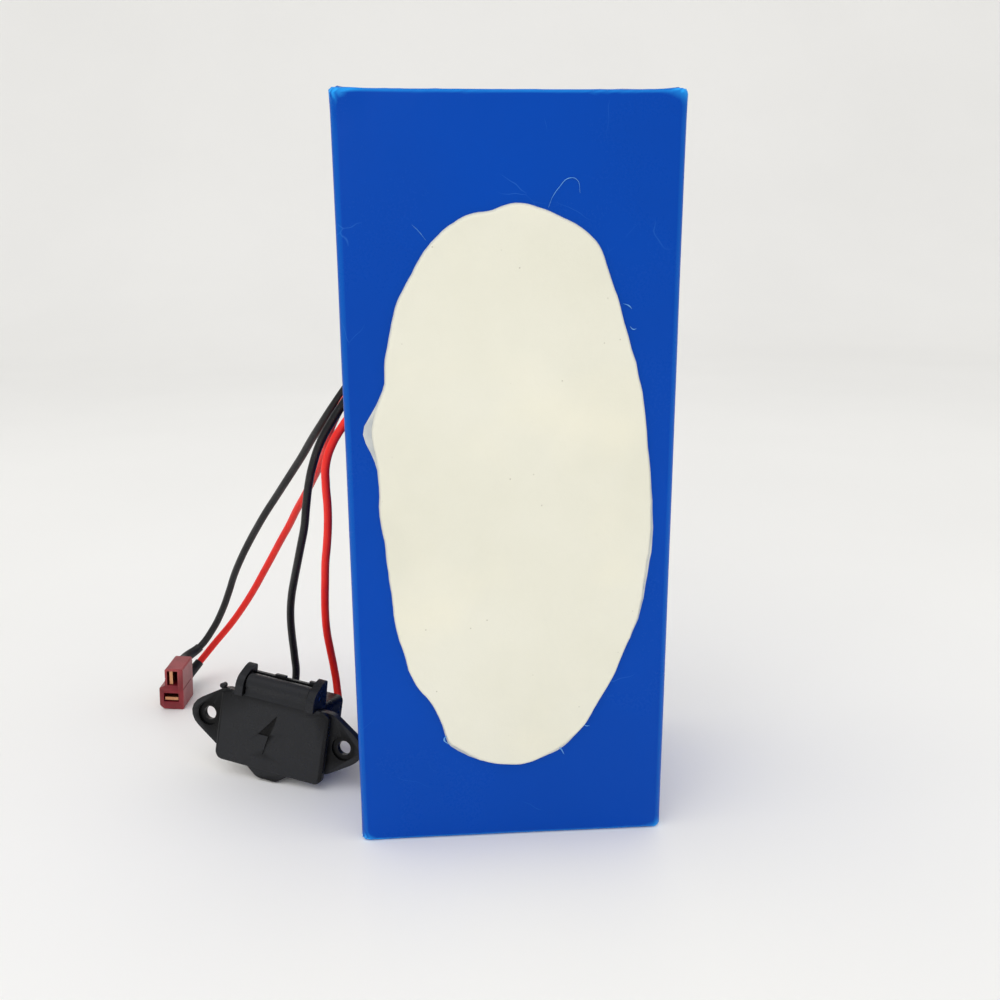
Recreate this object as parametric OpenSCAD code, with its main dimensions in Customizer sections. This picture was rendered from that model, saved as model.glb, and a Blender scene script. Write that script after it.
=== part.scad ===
// Shrink-wrapped 10-series, 4-parallel battery pack with its discharge plug and its lidded charging port.
// Frame: origin on the floor under the middle of the pack (adhesive pad included), +X right,
// +Y from the front face to the back, +Z up.

/* [Pack] */
// Width of the wrapped pack
pack_w = 90; // [90:0.5:94]
// Depth of the wrapped pack, front to back
pack_d = 72; // [72:0.5:75]
// Height of the wrapped pack
pack_h = 210; // [209:0.5:216]
// Radius of the upright edges
edge_r = 2.5; // [1.5:0.5:3]
// Thickness of the shrink film
film_t = 0.4; // [0.3:0.1:0.5]
// Width of the film that laps over each end
lap_w = 11; // [8:0.5:14]

/* [Adhesive pad] */
// Half the pad's width
pad_half_w = 37; // [28:1:39]
// Half the pad's height
pad_half_h = 79.5; // [60:0.5:85]
// Height of the pad's centre
pad_z = 103; // [100:1:106]
// Thickness of the pad
pad_t = 1.4; // [1:0.1:2]

/* [Cells] */
// Diameter of a cell
cell_d = 18.3; // [18:0.1:18.4]
// Length of a cell
cell_l = 65; // [64:0.5:65]
// Spacing of the cells in their holders
pitch = 20.2; // [20:0.1:20.2]

/* [Leads] */
// Outer diameter of the leads
lead_d = 2.7; // [2.4:0.1:2.8]

/* [Charging port] */
// Distance between the two fixing holes
port_holes = 50; // [49:0.5:50]
// Diameter of a fixing hole
port_hole_d = 4.5; // [4:0.1:5]
// Width of the lid
lid_w = 39.4; // [38:0.2:39.6]
// Thickness of the flange
flange_t = 2.6; // [2.2:0.1:2.8]
// Turn about the upright axis
port_yaw = -22; // [-24:1:-20]
// Lean backwards
port_lean = -11; // [-12:1:-10]
// Tilt in its own plane
port_roll = 5.5; // [5:0.5:6]

/* [Discharge plug] */
// Height of the plug's face
plug_h = 16.3; // [16:0.1:17]
// Length of the plug's body
plug_l = 12; // [11:0.5:13]
// Turn about the upright axis
plug_yaw = -5; // [-8:1:0]
// Tilt in its own plane
plug_roll = 3; // [0:1:4]

/* [Hidden] */
$fn = 48;
wrap_front = -(pack_d + pad_t) / 2 + pad_t;
wrap_mid_y = wrap_front + pack_d / 2;
end_t = 0.5;
columns = 4;
rows = 10;
board_t = 1;
foam_sheet_t = 1.4;
paper_t = 0.4;
strip_t = 0.3;
cell_front = wrap_front + film_t + board_t + foam_sheet_t + paper_t + strip_t;
cell_back = cell_front + cell_l;
block_right = pack_w / 2 - film_t - board_t;
block_left = block_right - columns * pitch;
block_w = columns * pitch;
block_h = rows * pitch;
foam_t = (pack_h - 2 * end_t - block_h) / 2 - board_t;
block_z = end_t + board_t + foam_t;
holder_l = 10;
side_in = -pack_w / 2 + film_t + 0.8;

// Circuit board of the battery management system, in the gap at the left of the cells
bms_x = block_left - 2.8;
bms_t = 1.6;
bms_y = [wrap_front + 14, wrap_front + 60];
bms_z = [60, 152];
pin_pitch = 2;
wire_r = 0.6;

// Where the four leads pass through the left side, from front to back
exit_y = [8, 13, 18, 23];
exit_z = [122, 128, 128, 131];
exit_dir = [-0.6, 0, -0.8];
lead_r = lead_d / 2;
pad_x = bms_x - lead_r - 0.05;
seal_y = [5, 26];
seal_z = [116, 136.5];
seal_out = 2;

// Free routes of the leads
route_discharge_black = [
  [-53, 25.4, 120], [-57.4, 30.2, 113.4], [-61.4, 35.8, 107.2], [-65.2, 41.8, 100.8],
  [-69.2, 47.4, 94.6], [-73.4, 52.6, 88.2], [-77.6, 57.6, 81.8], [-82, 62, 75.2],
  [-86.2, 66.2, 68.4], [-90.4, 70.2, 61.2], [-94.4, 73.8, 53.8], [-98, 77, 46.2],
  [-101.2, 79.8, 38], [-104.8, 82, 29.6], [-109.2, 83, 21.6], [-114.4, 81.8, 15]
];
route_discharge_red = [
  [-52.4, 20.8, 116.4], [-55.2, 27, 109.2], [-57.4, 34.6, 102.6], [-60.2, 42.2, 96],
  [-63.4, 49.2, 89.6], [-67, 55.6, 82.8], [-70.8, 61.4, 76], [-74.6, 66.8, 68.6],
  [-78.8, 71.6, 61.2], [-83, 75.8, 53.6], [-87.4, 79.6, 45.8], [-92, 82.8, 37.8],
  [-97, 85.4, 30], [-102.8, 87.2, 22], [-109.4, 87, 14.4], [-115.4, 83.6, 7.8]
];
route_charge_black = [
  [-52.4, 13.4, 117.6], [-56.2, 14.2, 111], [-59, 15.4, 103.8], [-61, 17.2, 96.4],
  [-62.4, 19.2, 88.6], [-63.6, 21.4, 81.2], [-65.4, 24, 74], [-67.2, 26.6, 67],
  [-69, 29.2, 60], [-70.6, 31.8, 53], [-71.6, 34.2, 45.4], [-71.8, 36.2, 37.4],
  [-71.6, 37.8, 29.2], [-71.4, 37.4, 21.4]
];
route_charge_red = [
  [-52, 8.2, 111.8], [-54.4, 9.4, 105.2], [-55, 11.6, 97.8], [-55, 13.8, 90.2],
  [-55.4, 15.8, 83], [-56.2, 17.6, 76], [-57.2, 19.6, 69], [-57.8, 21.8, 62.2],
  [-58.4, 24.2, 55.2], [-58.8, 26.6, 48], [-58.8, 29, 40.8], [-58.2, 31, 33.6],
  [-57.4, 32.2, 26.4], [-56.6, 31.4, 19.6]
];

// Charging port: u across, n back from the flange's face, v up in the flange's plane
port_at = [-75.1, 5.5, 16.4];
ear_r = 6;
ear_angle = 32;
flange_w = 40.8;
flange_h = 22.9;
body_w = 34;
body_v = 11;
body_n = 21;
recess_n = 18;
hinge_n = 0.6;
hinge_v = 13.9;
barrel_r = 3.1;
barrel_half = 11.2;
post_u = [11.6, 14.4];
post_r = 4.2;
pin_r = 0.8;
lid_n = [-2.5, -0.3];
lid_v = [-13.4, 10.8];
tab_v = -16.4;
terminal_u = 9;
terminal_v = -2;
terminal_n = 22;
terminal_lean = 45;
tab_l = 4;
port_sleeve = [1.3, 7.8];

// Discharge plug: u to the right, n back from its face, v up, from its lower right corner
plug_at = [-116.7, 57.4, 0];
plug_u = -4.6;
plug_high_v = 12.4;
plug_low_v = 4;
plug_end = plug_l + 2.4;
sleeve_l = 7;

// ---- helpers ----

function unit(v) = v / norm(v);
function flip(v) = [-v[0], v[1], v[2]];
function superellipse(a, b, power, steps) = [
  for (i = [0 : steps - 1])
    let (t = 360 * i / steps, c = cos(t), s = sin(t))
      [a * sign(c) * pow(abs(c), 2 / power), b * sign(s) * pow(abs(s), 2 / power)]
];

module slab(x, y, z) {
  translate([x[0], y[0], z[0]])
    cube([x[1] - x[0], y[1] - y[0], z[1] - z[0]]);
}

module rounded_rect(w, h, r) {
  square([w - 2 * r, h], center = true);
  square([w, h - 2 * r], center = true);
  for (x = [-1, 1], y = [-1, 1])
    translate([x * (w / 2 - r), y * (h / 2 - r)])
      circle(r);
}

// Extrudes an outline drawn in X and Z along +Y, from y0 to y1
module extrude_back(y0, y1) {
  translate([0, y1, 0])
    rotate([90, 0, 0])
      linear_extrude(y1 - y0)
        children();
}

// A tube of flat facets swept along a list of points
module swept_tube(points, r, sides, ref = [1, 0, 0]) {
  last = len(points) - 1;
  rings = [
    for (i = [0 : last])
      let (
        t = unit(points[min(i + 1, last)] - points[max(i - 1, 0)]),
        a = unit(cross(t, ref)),
        b = cross(t, a)
      )
        for (k = [0 : sides - 1])
          points[i] + r * (cos(360 * k / sides) * a + sin(360 * k / sides) * b)
  ];
  walls = [
    for (i = [0 : last - 1], k = [0 : sides - 1])
      let (next = (k + 1) % sides)
        [i * sides + k, (i + 1) * sides + k, (i + 1) * sides + next, i * sides + next]
  ];
  start = [[for (k = [0 : sides - 1]) k]];
  end = [[for (k = [sides - 1 : -1 : 0]) last * sides + k]];
  polyhedron(rings, concat(walls, start, end));
}

// ---- wrap, pad and insulation ----

module seal_outline(x0, x1) {
  translate([x0, (seal_y[0] + seal_y[1]) / 2, (seal_z[0] + seal_z[1]) / 2])
    rotate([90, 0, 90])
      linear_extrude(x1 - x0)
        rounded_rect(seal_y[1] - seal_y[0], seal_z[1] - seal_z[0], 5);
}

module shrink_wrap() {
  color([0.0, 0.27, 0.69])
    difference() {
      translate([0, wrap_mid_y, 0])
        linear_extrude(pack_h)
          rounded_rect(pack_w, pack_d, edge_r);
      translate([0, wrap_mid_y, end_t])
        linear_extrude(pack_h - 2 * end_t)
          rounded_rect(pack_w - 2 * film_t, pack_d - 2 * film_t, edge_r - film_t);
      translate([0, wrap_mid_y, -1])
        linear_extrude(pack_h + 2)
          rounded_rect(pack_w - 2 * lap_w, pack_d - 2 * lap_w, 7);
      seal_outline(-pack_w / 2 - 1, -pack_w / 2 + 1);
    }
}

module adhesive_pad() {
  color([0.91, 0.9, 0.83])
    translate([0, 0, pad_z])
      extrude_back(wrap_front - pad_t, wrap_front)
        polygon(superellipse(pad_half_w, pad_half_h, 2.2, 72));
}

module face_sheet(y0, t, margin) {
  extrude_back(y0, y0 + t)
    translate([(block_left + block_right) / 2, pack_h / 2])
      square([block_w - margin, block_h], center = true);
}

module front_board() {
  color([0.25, 0.5, 0.3])
    face_sheet(wrap_front + film_t, board_t, 3);
}

module rear_board() {
  color([0.25, 0.5, 0.3])
    face_sheet(wrap_front + pack_d - film_t - board_t, board_t, 3);
}

module front_foam() {
  color([0.15, 0.15, 0.16])
    face_sheet(wrap_front + film_t + board_t, foam_sheet_t, 2);
}

module rear_foam() {
  color([0.15, 0.15, 0.16])
    face_sheet(wrap_front + pack_d - film_t - board_t - foam_sheet_t, foam_sheet_t, 2);
}

module front_paper() {
  color([0.78, 0.68, 0.5])
    face_sheet(cell_front - strip_t - paper_t, paper_t, 2);
}

module rear_paper() {
  color([0.78, 0.68, 0.5])
    face_sheet(cell_back + strip_t, paper_t, 2);
}

module side_board_left() {
  color([0.25, 0.5, 0.3])
    difference() {
      slab([-pack_w / 2 + film_t, side_in], [wrap_front + 4, wrap_front + pack_d - 4],
        [block_z, block_z + block_h]);
      seal_outline(-pack_w / 2 - 1, side_in + 1);
    }
}

module side_board_right() {
  color([0.25, 0.5, 0.3])
    slab([block_right, block_right + board_t], [wrap_front + 4, wrap_front + pack_d - 4],
      [block_z, block_z + block_h]);
}

module end_sheet(z0, t) {
  translate([0, wrap_mid_y, z0])
    linear_extrude(t)
      rounded_rect(pack_w - 2 * film_t - 0.4, pack_d - 2 * film_t - 0.4, edge_r);
}

module top_foam() {
  color([0.15, 0.15, 0.16])
    end_sheet(block_z + block_h, foam_t);
}

module bottom_foam() {
  color([0.15, 0.15, 0.16])
    end_sheet(block_z - foam_t, foam_t);
}

module top_board() {
  color([0.25, 0.5, 0.3])
    end_sheet(pack_h - end_t - board_t, board_t);
}

module bottom_board() {
  color([0.25, 0.5, 0.3])
    end_sheet(end_t, board_t);
}

// ---- cells and their links ----

function column_x(i) = block_left + pitch * (i + 0.5);
function row_z(j) = block_z + pitch * (j + 0.5);

module cell_holder(y0) {
  color([0.12, 0.12, 0.13])
    extrude_back(y0, y0 + holder_l)
      difference() {
        translate([block_left, block_z])
          square([block_w, block_h]);
        for (i = [0 : columns - 1], j = [0 : rows - 1])
          translate([column_x(i), row_z(j)])
            circle(d = cell_d + 0.2);
      }
}

module front_cell_holder() {
  cell_holder(cell_front);
}

module rear_cell_holder() {
  cell_holder(cell_back - holder_l);
}

// One cell along Y, with its button at the front or at the back
module cell(x, z, button_in_front) {
  translate([x, (cell_front + cell_back) / 2, z])
    rotate([button_in_front ? 90 : -90, 0, 0])
      translate([0, 0, -cell_l / 2]) {
        cylinder(d = cell_d, h = cell_l - 4);
        cylinder(d = cell_d - 1, h = cell_l - 2.6);
        translate([0, 0, cell_l - 2.8])
          cylinder(d = cell_d - 0.2, h = 2);
        cylinder(d = 8, h = cell_l);
      }
}

module cell_row(j) {
  color([0.2, 0.5, 0.45])
    for (i = [0 : columns - 1])
      cell(column_x(i), row_z(j), j % 2 == 0);
}

// A welded nickel strip over whole rows, with a slot at each weld and a tab for its sense wire
module nickel_strip(first_row, row_count, y0, tab_l = 2) {
  color([0.78, 0.78, 0.76])
    extrude_back(y0, y0 + strip_t)
      difference() {
        union() {
          translate([block_left + 3, row_z(first_row) - 6])
            square([block_w - 6, (row_count - 1) * pitch + 12]);
          translate([block_left - tab_l, row_z(first_row) - 3])
            square([tab_l + 4, 6]);
        }
        for (i = [0 : columns - 1], j = [0 : row_count - 1])
          translate([column_x(i), row_z(first_row + j)])
            square([1.2, 7], center = true);
      }
}

module front_nickel_strips() {
  for (j = [0 : 2 : rows - 2])
    nickel_strip(j, 2, cell_front - strip_t);
}

module rear_nickel_strips() {
  for (j = [1 : 2 : rows - 3])
    nickel_strip(j, 2, cell_back);
}

module negative_end_strip() {
  nickel_strip(0, 1, cell_back, 5);
}

module positive_end_strip() {
  nickel_strip(rows - 1, 1, cell_back, 5);
}

// ---- battery management system ----

module bms_paper() {
  color([0.78, 0.68, 0.5])
    slab([block_left - 0.5, block_left - 0.1], [cell_front + 1, cell_back - 1],
      [block_z + 4, block_z + block_h - 4]);
}

module bms_board() {
  color([0.05, 0.35, 0.2])
    difference() {
      slab([bms_x, bms_x + bms_t], bms_y, bms_z);
      for (y = [bms_y[0] + 4, bms_y[1] - 4])
        translate([bms_x - 1, y, bms_z[0] + 12])
          rotate([0, 90, 0])
            cylinder(d = 3, h = bms_t + 2);
    }
}

module bms_transistors() {
  color([0.1, 0.1, 0.1])
    for (i = [0 : 3], j = [0 : 1])
      let (y = bms_y[0] + 6.5 + 11 * i, z = 84 + 14 * j)
        slab([bms_x - 2.2, bms_x], [y - 4.5, y + 4.5], [z - 5, z + 5]);
}

module bms_heat_sink() {
  color([0.75, 0.76, 0.78])
    difference() {
      slab([bms_x - 3.4, bms_x - 2.2], [bms_y[0] + 0.5, bms_y[1] - 0.5], [76, 106]);
      for (z = [80 : 4 : 102])
        slab([bms_x - 4, bms_x - 2.8], [bms_y[0], bms_y[1]], [z - 0.6, z + 0.6]);
    }
}

module bms_shunts() {
  color([0.6, 0.6, 0.58])
    for (i = [0 : 2])
      let (y = bms_y[0] + 12 + 9 * i)
        slab([bms_x - 0.9, bms_x], [y - 3.2, y + 3.2], [109, 112.2]);
}

module bms_chips() {
  color([0.1, 0.1, 0.1])
    for (i = [0 : 3])
      let (y = bms_y[0] + 9 + 9.5 * i)
        slab([bms_x - 1.4, bms_x], [y - 2.6, y + 2.6], [69, 74]);
}

module bms_capacitors() {
  color([0.65, 0.5, 0.3])
    for (i = [0 : 5])
      let (y = bms_y[0] + 5 + 4 * i)
        slab([bms_x - 1, bms_x], [y - 1, y + 1], [115.5, 117]);
}

balance_y = (bms_y[0] + bms_y[1]) / 2 - rows / 2 * pin_pitch;

module balance_socket() {
  color([0.93, 0.92, 0.88])
    slab([bms_x - 3.2, bms_x], [balance_y - 2, balance_y + rows * pin_pitch + 2], [60, 67]);
}

module balance_plug() {
  color([0.9, 0.89, 0.84])
    slab([bms_x - 3, bms_x - 0.4], [balance_y - 1.5, balance_y + rows * pin_pitch + 1.5],
      [55.5, 60]);
}

// Sense wires: from a strip's tab into an upright lane, across, and up to the plug
module sense_wire(tap_z, tap_y, lane_y, pin) {
  deep = block_left - 1.3;
  middle = block_left - 3;
  outer = bms_x - 1.8;
  level = 30 + 1.6 * pin;
  pin_y = balance_y + pin_pitch * pin;
  color("white")
    swept_tube([
      [deep, tap_y, tap_z], [deep, lane_y, tap_z + 0.1], [deep - 0.1, lane_y, level],
      [middle, lane_y, level], [middle - 0.1, pin_y, level], [outer, pin_y, level],
      [outer, pin_y + 0.1, 55.5]
    ], wire_r, 6, [0.4, 0.5, 0.7]);
}

module balance_wires() {
  for (k = [0 : 4])
    sense_wire(row_z(2 * k), cell_front, cell_front + 1.6 + 1.4 * k, 2 * k + 1);
  for (k = [0 : 5])
    sense_wire(row_z(max(2 * k - 1, 0)), cell_back, cell_back - 1.4 - 1.3 * k, 2 * k);
}

module pack_negative_lead() {
  x = bms_x - 0.6;
  outer = bms_x - 2.4;
  pad = bms_x - 1.4;
  color([0.05, 0.05, 0.05])
    swept_tube([
      [x, cell_back, 11.8], [x, 20, 11.8], [x, -6, 12], [x - 0.6, -13, 14],
      [outer, -17, 20], [outer, -17, 50], [pad, -17, 58], [pad, -17, 66]
    ], 1.3, 8);
}

module pack_positive_lead() {
  x = bms_x - 0.6;
  pad = bms_x - 1.4;
  color([0.8, 0.1, 0.1])
    swept_tube([
      [x, cell_back, 193.5], [x, 27, 193.5], [x, 12, 190], [x, 4, 184], [x, 0, 176],
      [x, 0, 160], [pad, 0, 150], [pad, 0, 142]
    ], 1.3, 8);
}

// ---- leads ----

module lead_exit_seal() {
  color([0.85, 0.84, 0.8])
    difference() {
      seal_outline(-pack_w / 2 - seal_out, side_in);
      for (i = [0 : 3])
        translate([-pack_w / 2, exit_y[i], exit_z[i]])
          rotate([0, atan2(exit_dir[0], exit_dir[2]), 0])
            cylinder(r = lead_r, h = 16, center = true);
    }
}

// The stretch of a lead inside the pack, from its pad on the board and out through the seal
function inner_run(i) = [
  [pad_x, exit_y[i], 146],
  [pad_x, exit_y[i], exit_z[i] + (pad_x + pack_w / 2) / 0.6 * 0.8],
  [-pack_w / 2 - 3, exit_y[i], exit_z[i] - 4]
];

function turn_z(v, a) = [v[0] * cos(a) - v[1] * sin(a), v[0] * sin(a) + v[1] * cos(a), v[2]];
function turn_x(v, a) = [v[0], v[1] * cos(a) - v[2] * sin(a), v[1] * sin(a) + v[2] * cos(a)];
function turn_y(v, a) = [v[0] * cos(a) + v[2] * sin(a), v[1], -v[0] * sin(a) + v[2] * cos(a)];
function on_port(v) = port_at + turn_z(turn_x(turn_y(v, port_roll), port_lean), port_yaw);
function on_plug(v) = plug_at + turn_z(turn_y(v, plug_roll), plug_yaw);

function plug_run(v) = [on_plug([plug_u, plug_end + 5.4, v]), on_plug([plug_u, plug_end, v])];
function along_tab(side, d) = on_port([
  side * terminal_u,
  terminal_n + d * cos(terminal_lean),
  terminal_v + d * sin(terminal_lean)
]);
function port_run(side) = [along_tab(side, 7.5), along_tab(side, tab_l)];

module discharge_lead_black() {
  color([0.12, 0.12, 0.12])
    swept_tube(concat(inner_run(3), route_discharge_black, plug_run(plug_high_v)), lead_r, 8);
}

module discharge_lead_red() {
  color([0.85, 0.15, 0.15])
    swept_tube(concat(inner_run(2), route_discharge_red, plug_run(plug_low_v)), lead_r, 8);
}

module charge_lead_black() {
  color([0.12, 0.12, 0.12])
    swept_tube(concat(inner_run(1), route_charge_black, port_run(-1)), lead_r, 8);
}

module charge_lead_red() {
  color([0.85, 0.15, 0.15])
    swept_tube(concat(inner_run(0), route_charge_red, port_run(1)), lead_r, 8);
}

// ---- discharge plug ----

module place_plug() {
  translate(plug_at)
    rotate([0, 0, plug_yaw])
      rotate([0, plug_roll, 0])
        children();
}

module plug_housing() {
  rear_wall = 2;
  color([0.5, 0.12, 0.14])
    place_plug()
      difference() {
        extrude_back(0, plug_l)
          polygon([[-7.6, 0], [0, 0], [0, plug_h], [-6.2, plug_h], [-6.8, plug_h - 0.6],
            [-6.8, 9.4], [-9, 8.4], [-9, 1.4]]);
        slab([-6, -2.1], [-1, plug_l - rear_wall], [9.6, 15.3]);
        slab([-7.4, -1.9], [-1, plug_l - rear_wall], [2.9, 6.4]);
        slab([-5.2, -4], [0, plug_l + 1], [plug_high_v - 1.5, plug_high_v + 1.5]);
        slab([plug_u - 1.5, plug_u + 1.5], [0, plug_l + 1], [plug_low_v - 0.6, plug_low_v + 0.6]);
      }
}

module plug_contact_upper() {
  color([0.85, 0.7, 0.4])
    place_plug() {
      slab([-5.2, -4], [0.6, plug_l - 2], [9.9, 15]);
      slab([-5.2, -4], [plug_l - 2, plug_end], [plug_high_v - 1.5, plug_high_v + 1.5]);
    }
}

module plug_contact_lower() {
  color([0.85, 0.7, 0.4])
    place_plug() {
      slab([-7.1, -2.2], [0.6, plug_l - 2], [plug_low_v - 0.6, plug_low_v + 0.6]);
      slab([plug_u - 1.5, plug_u + 1.5], [plug_l - 2, plug_end], [plug_low_v - 0.6, plug_low_v + 0.6]);
    }
}

module plug_sleeve(v) {
  color([0.08, 0.08, 0.08])
    place_plug()
      translate([plug_u, plug_l, v])
        rotate([-90, 0, 0])
          difference() {
            cylinder(r = 2.3, h = sleeve_l);
            translate([0, 0, -1])
              cylinder(r = lead_r + 0.15, h = sleeve_l + 2);
            translate([0, 0, -1])
              cylinder(r = 1.75, h = plug_end - plug_l + 1);
          }
}

module plug_sleeve_upper() {
  plug_sleeve(plug_high_v);
}

module plug_sleeve_lower() {
  plug_sleeve(plug_low_v);
}

// ---- charging port ----

module place_port() {
  translate(port_at)
    rotate([0, 0, port_yaw])
      rotate([port_lean, 0, 0])
        rotate([0, port_roll, 0])
          children();
}

// A round bar along the hinge line, from u0 to u1
module hinge_bar(u0, u1, r) {
  translate([u0, hinge_n, hinge_v])
    rotate([0, 90, 0])
      cylinder(r = r, h = u1 - u0);
}

module flange_outline() {
  slope_u = port_holes / 2 + ear_r * sin(ear_angle);
  slope_v = ear_r * cos(ear_angle);
  top_v = flange_h / 2;
  top_u = slope_u - (top_v - slope_v) / tan(ear_angle);
  polygon([[-slope_u, -slope_v], [-top_u, -top_v], [top_u, -top_v], [slope_u, -slope_v],
    [slope_u, slope_v], [top_u, top_v], [-top_u, top_v], [-slope_u, slope_v]]);
  for (side = [-1, 1])
    translate([side * port_holes / 2, 0])
      circle(ear_r);
  rounded_rect(flange_w, flange_h, 2);
}

module post(u0, u1) {
  translate([u0, 0, 0])
    rotate([90, 0, 90])
      linear_extrude(u1 - u0)
        hull() {
          translate([hinge_n, hinge_v])
            circle(post_r, $fn = 32);
          translate([4.2, 18.7])
            circle(0.6, $fn = 24);
          translate([0.2, 9.6])
            square([5.4, 1]);
        }
}

module socket_outline(w, h) {
  polygon([[-w / 2, -h / 2], [w / 2, -h / 2], [w / 2, h / 2 - 4], [w / 2 - 4, h / 2],
    [4 - w / 2, h / 2], [-w / 2, h / 2 - 4]]);
}

module port_blades(n0, n1) {
  for (p = [[-terminal_u, terminal_v], [terminal_u, terminal_v], [0, 2]])
    slab([p[0] - 1, p[0] + 1], [n0, n1], [p[1] - 2, p[1] + 2]);
}

module port_housing() {
  color([0.1, 0.1, 0.11])
    place_port()
      difference() {
        union() {
          extrude_back(0, flange_t)
            flange_outline();
          extrude_back(0, body_n)
            rounded_rect(body_w, 2 * body_v, 2);
          post(post_u[0], post_u[1]);
          post(-post_u[1], -post_u[0]);
          slab([-post_u[0], post_u[0]], [4.2, 5.6], [10, 16.7]);
        }
        hinge_bar(-post_u[0], post_u[0], barrel_r + 0.4);
        hinge_bar(-post_u[1] - 1, post_u[1] + 1, pin_r);
        extrude_back(-1, recess_n)
          socket_outline(24.4, 16.4);
        port_blades(1, body_n + 1);
        for (side = [-1, 1])
          translate([side * port_holes / 2, -1, 0])
            rotate([-90, 0, 0]) {
              cylinder(d = port_hole_d, h = flange_t + 2);
              cylinder(r = 4, h = 1.8);
            }
      }
}

module lid_outline() {
  translate([0, (lid_v[0] + lid_v[1]) / 2])
    rounded_rect(lid_w, lid_v[1] - lid_v[0], 2.2);
  polygon([[-6.6, lid_v[0] + 1], [-6.6, lid_v[0]], [-3.8, tab_v], [3.8, tab_v],
    [6.6, lid_v[0]], [6.6, lid_v[0] + 1]]);
  translate([-barrel_half, 5])
    square([2 * barrel_half, hinge_v - 5]);
}

module port_lid() {
  spring_half = 4.5;
  color([0.1, 0.1, 0.11])
    place_port()
      difference() {
        union() {
          extrude_back(lid_n[0], lid_n[1])
            lid_outline();
          hinge_bar(-barrel_half, barrel_half, barrel_r);
        }
        hinge_bar(-barrel_half - 1, barrel_half + 1, pin_r + 0.05);
        hinge_bar(-spring_half, spring_half, 2.4);
        slab([-spring_half, spring_half], [hinge_n + 0.6, hinge_n + 4], [hinge_v - 4, hinge_v + 4]);
        hinge_bar(barrel_half, post_u[1] + 0.4, post_r + 0.4);
        hinge_bar(-post_u[1] - 0.4, -barrel_half, post_r + 0.4);
        extrude_back(-0.9, 1)
          rounded_rect(30, 20, 3);
        extrude_back(lid_n[0] - 1, lid_n[0] + 0.35)
          polygon([[1.6, 6], [-4.6, -1.6], [-0.8, -1.6], [-2.2, -8], [4.4, 0.2], [0.6, 0.2]]);
      }
}

module port_hinge_pin() {
  color([0.75, 0.75, 0.77])
    place_port()
      hinge_bar(-post_u[1] + 0.2, post_u[1] - 0.2, pin_r);
}

// A torsion spring around the hinge pin, with a leg that rests near the housing's back wall
module port_spring() {
  turns = 4;
  steps = 12;
  coil_r = 1.5;
  coil = [
    for (i = [0 : turns * steps])
      let (a = 360 * i / steps + 250)
        [-3.6 + 7.2 * i / (turns * steps), hinge_n + coil_r * cos(a), hinge_v + coil_r * sin(a)]
  ];
  leg = [[3.7, 1.3, 12], [3.8, 2.4, 11.6]];
  color([0.7, 0.7, 0.72])
    place_port()
      swept_tube(concat(coil, leg), 0.3, 6);
}

module port_seal() {
  color([0.2, 0.2, 0.2])
    place_port()
      extrude_back(-0.9, lid_n[1])
        difference() {
          rounded_rect(29.6, 19.6, 3);
          rounded_rect(26.4, 17.2, 1.6);
        }
}

// Puts something on a terminal's slanted tab, with its Z along the tab
module on_tab(side) {
  translate([side * terminal_u, terminal_n, terminal_v])
    rotate([terminal_lean - 90, 0, 0])
      children();
}

module port_pins() {
  color([0.85, 0.72, 0.42])
    place_port() {
      port_blades(7.6, body_n);
      for (p = [[-terminal_u, terminal_v], [terminal_u, terminal_v], [0, 2]])
        slab([p[0] - 0.5, p[0] + 0.5], [body_n, terminal_n + 0.4], [p[1] - 1.5, p[1] + 1.5]);
      for (side = [-1, 1])
        on_tab(side)
          slab([-0.5, 0.5], [-1.3, 1.3], [-0.3, tab_l]);
    }
}

module port_terminal_sleeves() {
  length = port_sleeve[1] - port_sleeve[0];
  color([0.08, 0.08, 0.08])
    place_port()
      for (side = [-1, 1])
        on_tab(side)
          translate([0, 0, port_sleeve[0]])
            difference() {
              cylinder(r = 2.4, h = length);
              translate([0, 0, -1])
                cylinder(r = lead_r + 0.15, h = length + 2);
              translate([0, 0, -1])
                cylinder(r = 1.8, h = tab_l - port_sleeve[0] + 1);
            }
}

shrink_wrap();
adhesive_pad();
front_board();
rear_board();
side_board_left();
side_board_right();
top_board();
bottom_board();
front_foam();
rear_foam();
top_foam();
bottom_foam();
front_paper();
rear_paper();
front_cell_holder();
rear_cell_holder();
cell_row(0);  // cell_row_01
cell_row(1);  // cell_row_02
cell_row(2);  // cell_row_03
cell_row(3);  // cell_row_04
cell_row(4);  // cell_row_05
cell_row(5);  // cell_row_06
cell_row(6);  // cell_row_07
cell_row(7);  // cell_row_08
cell_row(8);  // cell_row_09
cell_row(9);  // cell_row_10
front_nickel_strips();
rear_nickel_strips();
negative_end_strip();
positive_end_strip();
bms_paper();
bms_board();
bms_transistors();
bms_heat_sink();
bms_shunts();
bms_chips();
bms_capacitors();
balance_socket();
balance_plug();
balance_wires();
pack_negative_lead();
pack_positive_lead();
lead_exit_seal();
discharge_lead_black();
discharge_lead_red();
charge_lead_black();
charge_lead_red();
plug_housing();
plug_contact_upper();
plug_contact_lower();
plug_sleeve_upper();
plug_sleeve_lower();
port_housing();
port_lid();
port_hinge_pin();
port_spring();
port_seal();
port_pins();
port_terminal_sleeves();
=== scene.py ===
# %% [markdown]
# # A shrink-wrapped battery pack, with its leads, plug and charging port
# The CAD model gives the sizes and the joint. This lesson gives the same object its looks:
# thin film, a glue pad, four hanging leads, a small plug and a moulded port with a hinged lid.
# Everything is in metres and in the CAD model's own frame, so no piece is ever fitted by eye.

# %% Load the frame
import math

import bmesh
import bpy
from mathutils import Matrix, Vector, noise


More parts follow.
